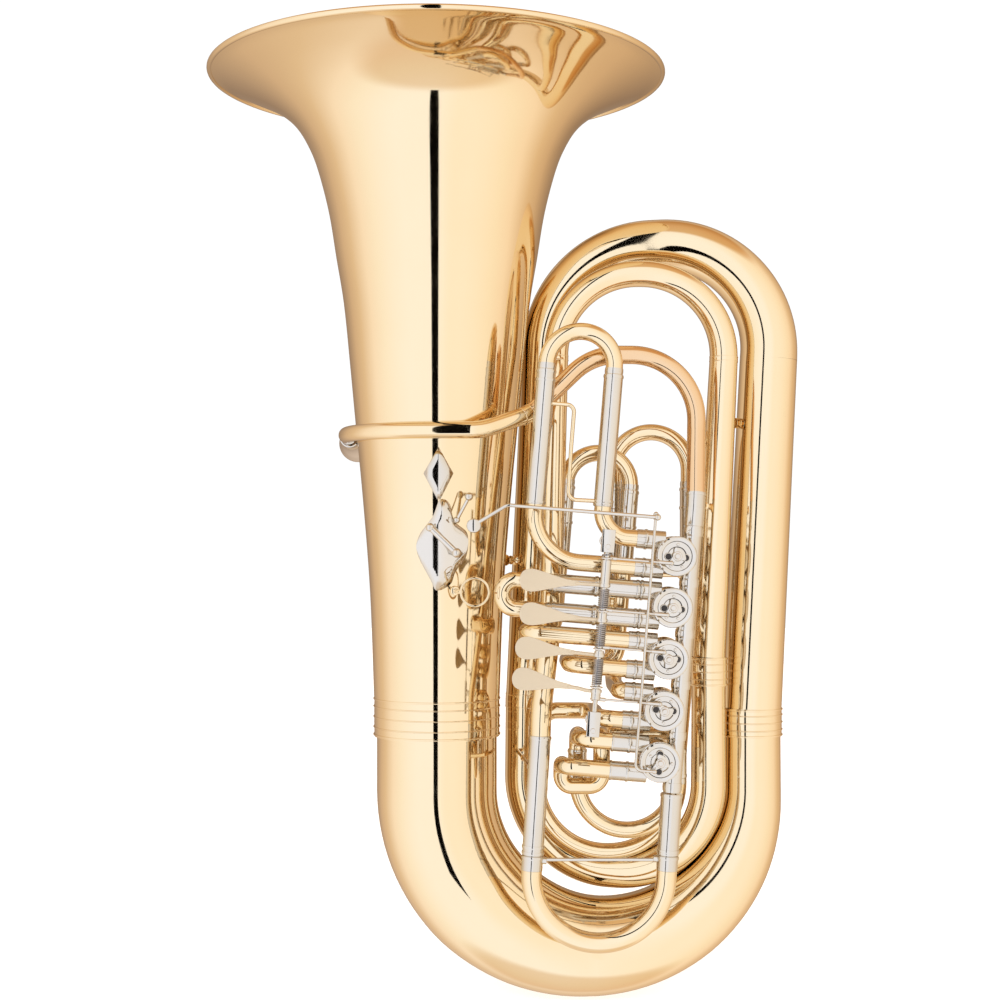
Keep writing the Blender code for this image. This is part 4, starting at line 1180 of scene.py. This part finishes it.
def paddle(index):
    """A lever's paddle, and the wire arm that joins it to the hub."""
    arm_z, _, paddle_x, paddle_z = LEVERS[index]
    head = Vector((paddle_x - HUB_X, paddle_z - arm_z))
    neck = head + (-head).normalized() * 0.041
    blade = placed(plate(paddle_outline(head), 0.0019, 0.0006), in_block(HUB_X, HUB_Y, arm_z))
    arm = block_route(
        (HUB_X + neck.x, HUB_Y, arm_z + neck.y, 0),
        (HUB_X - 0.016, HUB_Y, arm_z + neck.y * 0.6, 0.006),
        (HUB_X - 0.009, HUB_Y, arm_z, 0.006),
        (HUB_X, HUB_Y, arm_z, 0),
    )
    return [blade, tube(arm, 0.0017, 16)]


def hub(index):
    """A lever's hub on the axle, with a bead level with the arm, and its crank."""
    low, high, crank_z = hub_span(index)
    crank_end = (0.0024, ROD_Y - HUB_Y + 0.0012, 0.0009)
    return [
        rod(on_axle(low), on_axle(high), HUB_RADIUS, 28),
        collar(on_axle(LEVERS[index][0]), ALONG, HUB_RADIUS, 0.0030, 0.0009),
        bevelled_box((-0.0024, 0, -0.0009), crank_end, 0.0005, in_block(HUB_X, HUB_Y, crank_z)),
    ]


def return_spring(index):
    """The washer on a lever's hub, and the spring above it that ends short of the next hub or the post."""
    high = hub_span(index)[1]
    foot = high + 0.0032
    head = hub_span(index - 1)[0] - 0.0016 if index else SPRING_HEAD
    turns = max(1, round((head - foot) / SPRING_PITCH))
    spring = coil(on_axle(foot), on_axle(head), SPRING_RADIUS, SPRING_WIRE, turns)
    piece(f"lever_{index + 1}_return_spring", [spring], SPRING)
    washer = collar(on_axle(high + 0.0016), ALONG, 0.0030, 0.0016, 0.0030)
    piece(f"lever_{index + 1}_washer", [washer], SILVER)


def link_rod(index):
    """The rod from a lever's crank to its rotor's pin, thicker near both ends."""
    name = f"link_rod_{index + 1}"
    first = block(HUB_X - 0.0010, ROD_Y, rod_height(index))
    last = block(-PIN_REACH, ROD_Y, rod_height(index))
    meshes = [
        rod(first, last, 0.0011, 16),
        rod(first, first + ACROSS * 0.012, 0.0018, 16),
        rod(last - ACROSS * 0.012, last, 0.0018, 16),
        ball(first, 0.0021),
        ball(last, 0.0021),
    ]
    piece(f"link_{index + 1}_rod", meshes, NICKEL, name, [name])


def levers():
    """The four finger levers with their springs and link rods."""
    for index in range(len(LEVERS)):
        name = f"lever_{index + 1}"
        piece(f"{name}_paddle", paddle(index), SATIN, name, [name])
        piece(f"{name}_hub", hub(index), NICKEL, name, [name])
        return_spring(index)
        link_rod(index)


def lever_rack():
    """The axle with a ball at each end, and the two posts that hold it off the block."""
    foot, head = (on_axle(z) for z in AXLE_ENDS)
    axle = [rod(foot, head, 0.0023, 24), ball(foot, 0.0030), ball(head, 0.0030)]
    piece("lever_axle_rod", axle, NICKEL, nodes=["lever_axle"])
    for name, low, high in POSTS:
        middle = (low + high) / 2
        half = (high - low) / 2
        screw_z = middle - half * 0.5
        place = in_block(HUB_X, HUB_Y, middle)
        meshes = [
            bevelled_box((-0.0060, -0.0040, -half), (0.0060, 0.0040, half), 0.0008, place),
            pin(HUB_X, middle, HUB_Y, -0.0905, 0.0032, 24),
            collar(block(HUB_X, -0.0920, middle), BACK, 0.0032, 0.0020, 0.0022),
            pin(HUB_X, screw_z, HUB_Y - 0.0052, HUB_Y, 0.0024, 24),
        ]
        piece(f"{name}_block", meshes, NICKEL, nodes=[name])


def thumb_lever():
    """The long shaft from the thumb's touch to the crank, which works valve 5."""
    shaft = block_route(
        (THUMB_LINK_X, THUMB_Y, THUMB_Z, 0),
        (-0.1610, THUMB_Y, THUMB_Z, 0.0080),
        (TOUCH_X - 0.0005, THUMB_Y + 0.0100, THUMB_Z - TOUCH_DROP, 0),
    )
    crank_end = (0.0010, THUMB_LINK_Y - THUMB_Y - 0.0016, 0.0020)
    touch = [
        (0, 0), (0.0048, 0.0002), (0.0062, 0.0012), (0.0066, 0.0028), (0.0056, 0.0042), (0.0030, 0.0048),
        (0, 0.0048),
    ]
    meshes = [
        tube(shaft, 0.0017, 20),
        bevelled_box((-0.0022, 0, -0.0020), crank_end, 0.0005, in_block(THUMB_LINK_X, THUMB_Y, THUMB_Z)),
        turned(touch, 40, block(TOUCH_X, THUMB_Y + 0.0060, THUMB_Z - TOUCH_DROP), BACK),
        ball(block(THUMB_LINK_X, THUMB_Y, THUMB_Z), 0.0030),
    ]
    piece("thumb_lever_body", meshes, NICKEL, "thumb_lever", ["thumb_lever"])


def thumb_link():
    """The rod down the block from the thumb lever's crank to valve 5's pin."""
    foot = VALVE_Z[4] - THUMB_PIN
    route = block_route(
        (THUMB_LINK_X, THUMB_LINK_Y, THUMB_Z + 0.0040, 0),
        (THUMB_LINK_X, THUMB_LINK_Y, foot, 0.0060),
        (-THUMB_PIN, THUMB_LINK_Y, foot, 0),
    )
    meshes = [
        tube(route, 0.0013, 16),
        ball(block(THUMB_LINK_X, THUMB_LINK_Y, THUMB_Z + 0.0030), 0.0024),
        ball(block(-THUMB_PIN, THUMB_LINK_Y, foot), 0.0022),
    ]
    piece("thumb_link_rod", meshes, NICKEL, "thumb_link", ["thumb_link"])


# ---------------- bell fittings

LOZENGE = ((0.0, 0.5380), (0.0140, 0.5130), (0.0015, 0.4885), (-0.0015, 0.4885), (-0.0145, 0.5130))
SHIELD = (
    (0.0010, 0.4880), (0.0100, 0.4850), (0.0150, 0.4680), (0.0280, 0.4560), (0.0270, 0.4350),
    (0.0160, 0.4200), (0.0110, 0.4080), (-0.0020, 0.4020), (-0.0080, 0.4120), (-0.0210, 0.4380),
    (-0.0190, 0.4540), (-0.0060, 0.4720),
)


def wrapped_plate(name, outline):
    """A thin plate that follows the bell's front. The outline is x from the plates' middle, and height."""
    work = bmesh.new()
    corners = [work.verts.new((p[0], 0, p[1])) for p in outline]
    work.faces.new(corners)
    bmesh.ops.triangulate(work, faces=work.faces[:])
    bmesh.ops.subdivide_edges(work, edges=work.edges[:], cuts=3, use_grid_fill=True)
    for vertex in work.verts:
        radius = bell_radius(vertex.co.z) + PLATE_LIFT
        angle = (vertex.co.x + PLATE_SHIFT) / radius
        vertex.co = Vector((BELL_X + radius * math.sin(angle), -radius * math.cos(angle), vertex.co.z))
    obj = piece(name, [finished(work, name)], NICKEL, nodes=["bell_plate"])
    shell = obj.modifiers.new("thickness", "SOLIDIFY")
    shell.thickness = 0.0007
    shell.offset = 1.0


def thumb_bearing():
    """The bearing on the shield: a guard rod between two feet, and a short spur above it."""
    meshes = [
        rod(GUARD_TOP, GUARD_FOOT, 0.0030, 24),
        rod(GUARD_TOP + BACK * 0.008, GUARD_TOP, 0.0038, 24),
        rod(GUARD_FOOT + BACK * 0.020, GUARD_FOOT, 0.0042, 24),
        ball(GUARD_TOP, 0.0042, 24),
        ball(GUARD_FOOT, 0.0046, 24),
        rod(SPUR_FOOT, SPUR_TIP, 0.0017),
        ball(SPUR_TIP + Vector((0.0003, -0.0005, 0.0010)), 0.0040, 20),
        ball(SPUR_FOOT - BACK * 0.0010, 0.0032, 20),
    ]
    piece("thumb_lever_bearing", meshes, NICKEL)


def thumb_ring():
    """The ring that the right thumb goes through, on its shank from the bell."""
    meshes = [
        hoop(RING_CENTRE, BACK, RING_RADIUS, 0.0013, 56),
        rod(RING_CENTRE - Vector((RING_RADIUS, 0, 0)), RING_FOOT, 0.0020),
        collar(RING_FOOT + Vector((0.0002, -0.0010, 0)), (-0.18, 1, 0), 0.0020, 0.0020, 0.0026),
    ]
    piece("thumb_ring_hoop", meshes, BRASS, nodes=["thumb_ring"])


def braces():
    """The stays between the bell, the branches, the leadpipe and the main slide's sleeve."""
    flange_brace("leadpipe_bell_brace", (BELL_X - 0.078, 0.005, MOUTH_Z), (MOUTH_X + 0.0072, 0.005, MOUTH_Z))
    flange_brace(
        "bell_branch_brace", (-0.0885, 0.0125, 0.4300), (-0.0780, 0.0250, 0.4300),
        0.0026, 0.0056, ["bell_brace"],
    )
    flange_brace(
        "branch_cross_brace", (0.1358, -0.0110, 0.5650), (0.1400, -0.0080, 0.5650),
        0.0030, 0.0052, ["branch_brace"],
    )
    flange_brace("main_sleeve_brace", (-0.0640, -0.072, 0.235), (-0.0775, 0.022, 0.240))
    flange_brace("pipe_branch_brace", (0.0990, -0.052, 0.4830), (0.1100, -0.026, 0.4830))


# ---------------- studio

WORLD_TONES = (  # share of the way from the front of the studio (0) to its rear wall (1)
    (0.06, (1.24, 1.32, 1.53)),
    (0.17, (1.23, 1.28, 1.43)),
    (0.30, (1.20, 1.22, 1.28)),
    (0.47, (1.16, 1.09, 1.08)),
    (0.67, (0.91, 0.75, 0.60)),
    (0.80, (0.77, 0.60, 0.46)),
    (1.00, (0.32, 0.22, 0.15)),
)
FLOOR_LIFT = 0.40  # how far the white floor brightens the rear, below the horizon
WORLD_TINTS = (  # axis of the direction, values of it between which the tint comes in, tint
    ("Z", (0.74, 0.87), (0.72, 0.50, 0.29)),
    ("Z", (-0.84, -0.94), (0.83, 0.72, 0.60)),
    ("X", (-0.05, 0.35), (1.0, 0.94, 0.84)),
)
LAMPS = (  # name, place, watts, width
    ("key", (-0.9, -1.8, 1.5), 9, 1.2),
    ("fill", (1.3, -1.6, 0.9), 5, 1.0),
)
LAMP_AIM = Vector((0, 0, 0.45))
CAMERA = (-0.094, -1.663, 0.451)
LENS = 60.5
HORIZON_SHIFT = 0.039


def share_of(tree, source, low, high, curve="SMOOTHSTEP"):
    """How far a value has come on its way from low to high."""
    spread = tree.nodes.new("ShaderNodeMapRange")
    spread.interpolation_type = curve
    set_inputs(spread, {"From Min": low, "From Max": high})
    tree.links.new(source, spread.inputs["Value"])
    return spread.outputs["Result"]


def tinted(tree, colour, tone, factor):
    """The colour, multiplied by a tone as far as the factor says."""
    mix = tree.nodes.new("ShaderNodeMix")
    mix.data_type = "RGBA"
    mix.blend_type = "MULTIPLY"
    factor_in, colour_in, tone_in = mix.inputs[0], mix.inputs[6], mix.inputs[7]
    tone_in.default_value = (*tone, 1)
    tree.links.new(factor, factor_in)
    tree.links.new(colour, colour_in)
    return mix.outputs[2]


def depth_share(tree, split):
    """The share of the way to the rear wall, less below the horizon."""
    below = tree.nodes.new("ShaderNodeMath")
    below.operation = "MINIMUM"
    below.inputs[1].default_value = 0.0
    tree.links.new(split.outputs["Z"], below.inputs[0])
    lift = tree.nodes.new("ShaderNodeMath")
    lift.operation = "MULTIPLY_ADD"
    lift.inputs[1].default_value = FLOOR_LIFT
    tree.links.new(below.outputs["Value"], lift.inputs[0])
    tree.links.new(split.outputs["Y"], lift.inputs[2])
    return share_of(tree, lift.outputs["Value"], -1.0, 1.0, "LINEAR")


def world():
    """White walls in front that turn warm and dim towards the rear, the right, the ceiling and the floor."""
    made = bpy.data.worlds.new("studio")
    made.use_nodes = True
    bpy.context.scene.world = made
    tree = made.node_tree
    where = tree.nodes.new("ShaderNodeTexCoord")
    split = tree.nodes.new("ShaderNodeSeparateXYZ")
    tree.links.new(where.outputs["Generated"], split.inputs["Vector"])
    fade = tree.nodes.new("ShaderNodeValToRGB")
    ramp = fade.color_ramp
    for element, (position, tone) in zip(ramp.elements, (WORLD_TONES[0], WORLD_TONES[-1])):
        element.position = position
        element.color = (*tone, 1)
    for position, tone in WORLD_TONES[1:-1]:
        ramp.elements.new(position).color = (*tone, 1)
    tree.links.new(depth_share(tree, split), fade.inputs["Fac"])
    colour = fade.outputs["Color"]
    for axis, (low, high), tint in WORLD_TINTS:
        colour = tinted(tree, colour, tint, share_of(tree, split.outputs[axis], low, high))
    tree.links.new(colour, tree.nodes["Background"].inputs["Color"])


def studio_plane(name, size, location, rotation, colour, glow=0.0):
    """A flat stage piece."""
    mesh = bpy.data.meshes.new(name)
    x, y = size[0] / 2, size[1] / 2
    mesh.from_pydata([(-x, -y, 0), (x, -y, 0), (x, y, 0), (-x, y, 0)], [], [(0, 1, 2, 3)])
    obj = bpy.data.objects.new(name, mesh)
    obj.location = location
    obj.rotation_euler = rotation
    made = bpy.data.materials.new(name)
    made.use_nodes = True
    shader = made.node_tree.nodes["Principled BSDF"]
    set_inputs(shader, {"Base Color": (*colour, 1), "Roughness": 0.9, "Specular IOR Level": 0.0})
    set_inputs(shader, {"Emission Color": (1, 1, 1, 1), "Emission Strength": glow})
    mesh.materials.append(made)
    bpy.context.scene.collection.objects.link(obj)
    return obj


def stage_planes():
    """A pale floor and backdrop that the metal doesn't reflect, and a dark slit that only it reflects."""
    upright = (math.pi / 2, 0, 0)
    floor = studio_plane("floor", (14, 14), (0, 0, -0.004), (0, 0, 0), (0.9, 0.9, 0.9), 0.62)
    backdrop = studio_plane("backdrop", (40, 24), (0, 6.9, 0), upright, (0, 0, 0), 1.05)
    flag = studio_plane("dark_flag", (0.085, 2.6), (-0.158, -0.62, 1.27), upright, (0.003, 0.003, 0.003))
    floor.visible_glossy = False
    backdrop.visible_glossy = False
    backdrop.visible_diffuse = False
    backdrop.visible_shadow = False
    flag.visible_camera = False
    flag.visible_diffuse = False
    flag.visible_shadow = False


def lamps():
    """Two weak area lamps, which the metal doesn't reflect."""
    for name, place, watts, width in LAMPS:
        light = bpy.data.lights.new(name, "AREA")
        light.energy = watts
        light.size = width
        lamp = bpy.data.objects.new(name, light)
        lamp.location = place
        lamp.visible_glossy = False
        lamp.rotation_euler = (LAMP_AIM - Vector(place)).to_track_quat("-Z", "Y").to_euler()
        bpy.context.scene.collection.objects.link(lamp)


def camera():
    """A level camera in front."""
    lens = bpy.data.cameras.new("camera")
    lens.lens = LENS
    lens.shift_y = HORIZON_SHIFT
    holder = bpy.data.objects.new("camera", lens)
    holder.location = CAMERA
    holder.rotation_euler = (math.pi / 2, 0, 0)
    bpy.context.scene.collection.objects.link(holder)
    bpy.context.scene.camera = holder


world()
stage_planes()
lamps()
camera()
bpy.context.scene.view_settings.view_transform = "Standard"
bell()
bottom_bow()
outer_branches()
inner_branches()
branch_joints()
leadpipe()
receiver()
mouthpiece()
valves()
first_valve()
second_valve()
third_valve()
fourth_valve()
fifth_valve()
main_sleeves()
main_slide()
levers()
lever_rack()
thumb_lever()
thumb_link()
wrapped_plate("bell_lozenge", LOZENGE)
wrapped_plate("bell_shield", smooth_loop(SHIELD))
thumb_bearing()
thumb_ring()
braces()
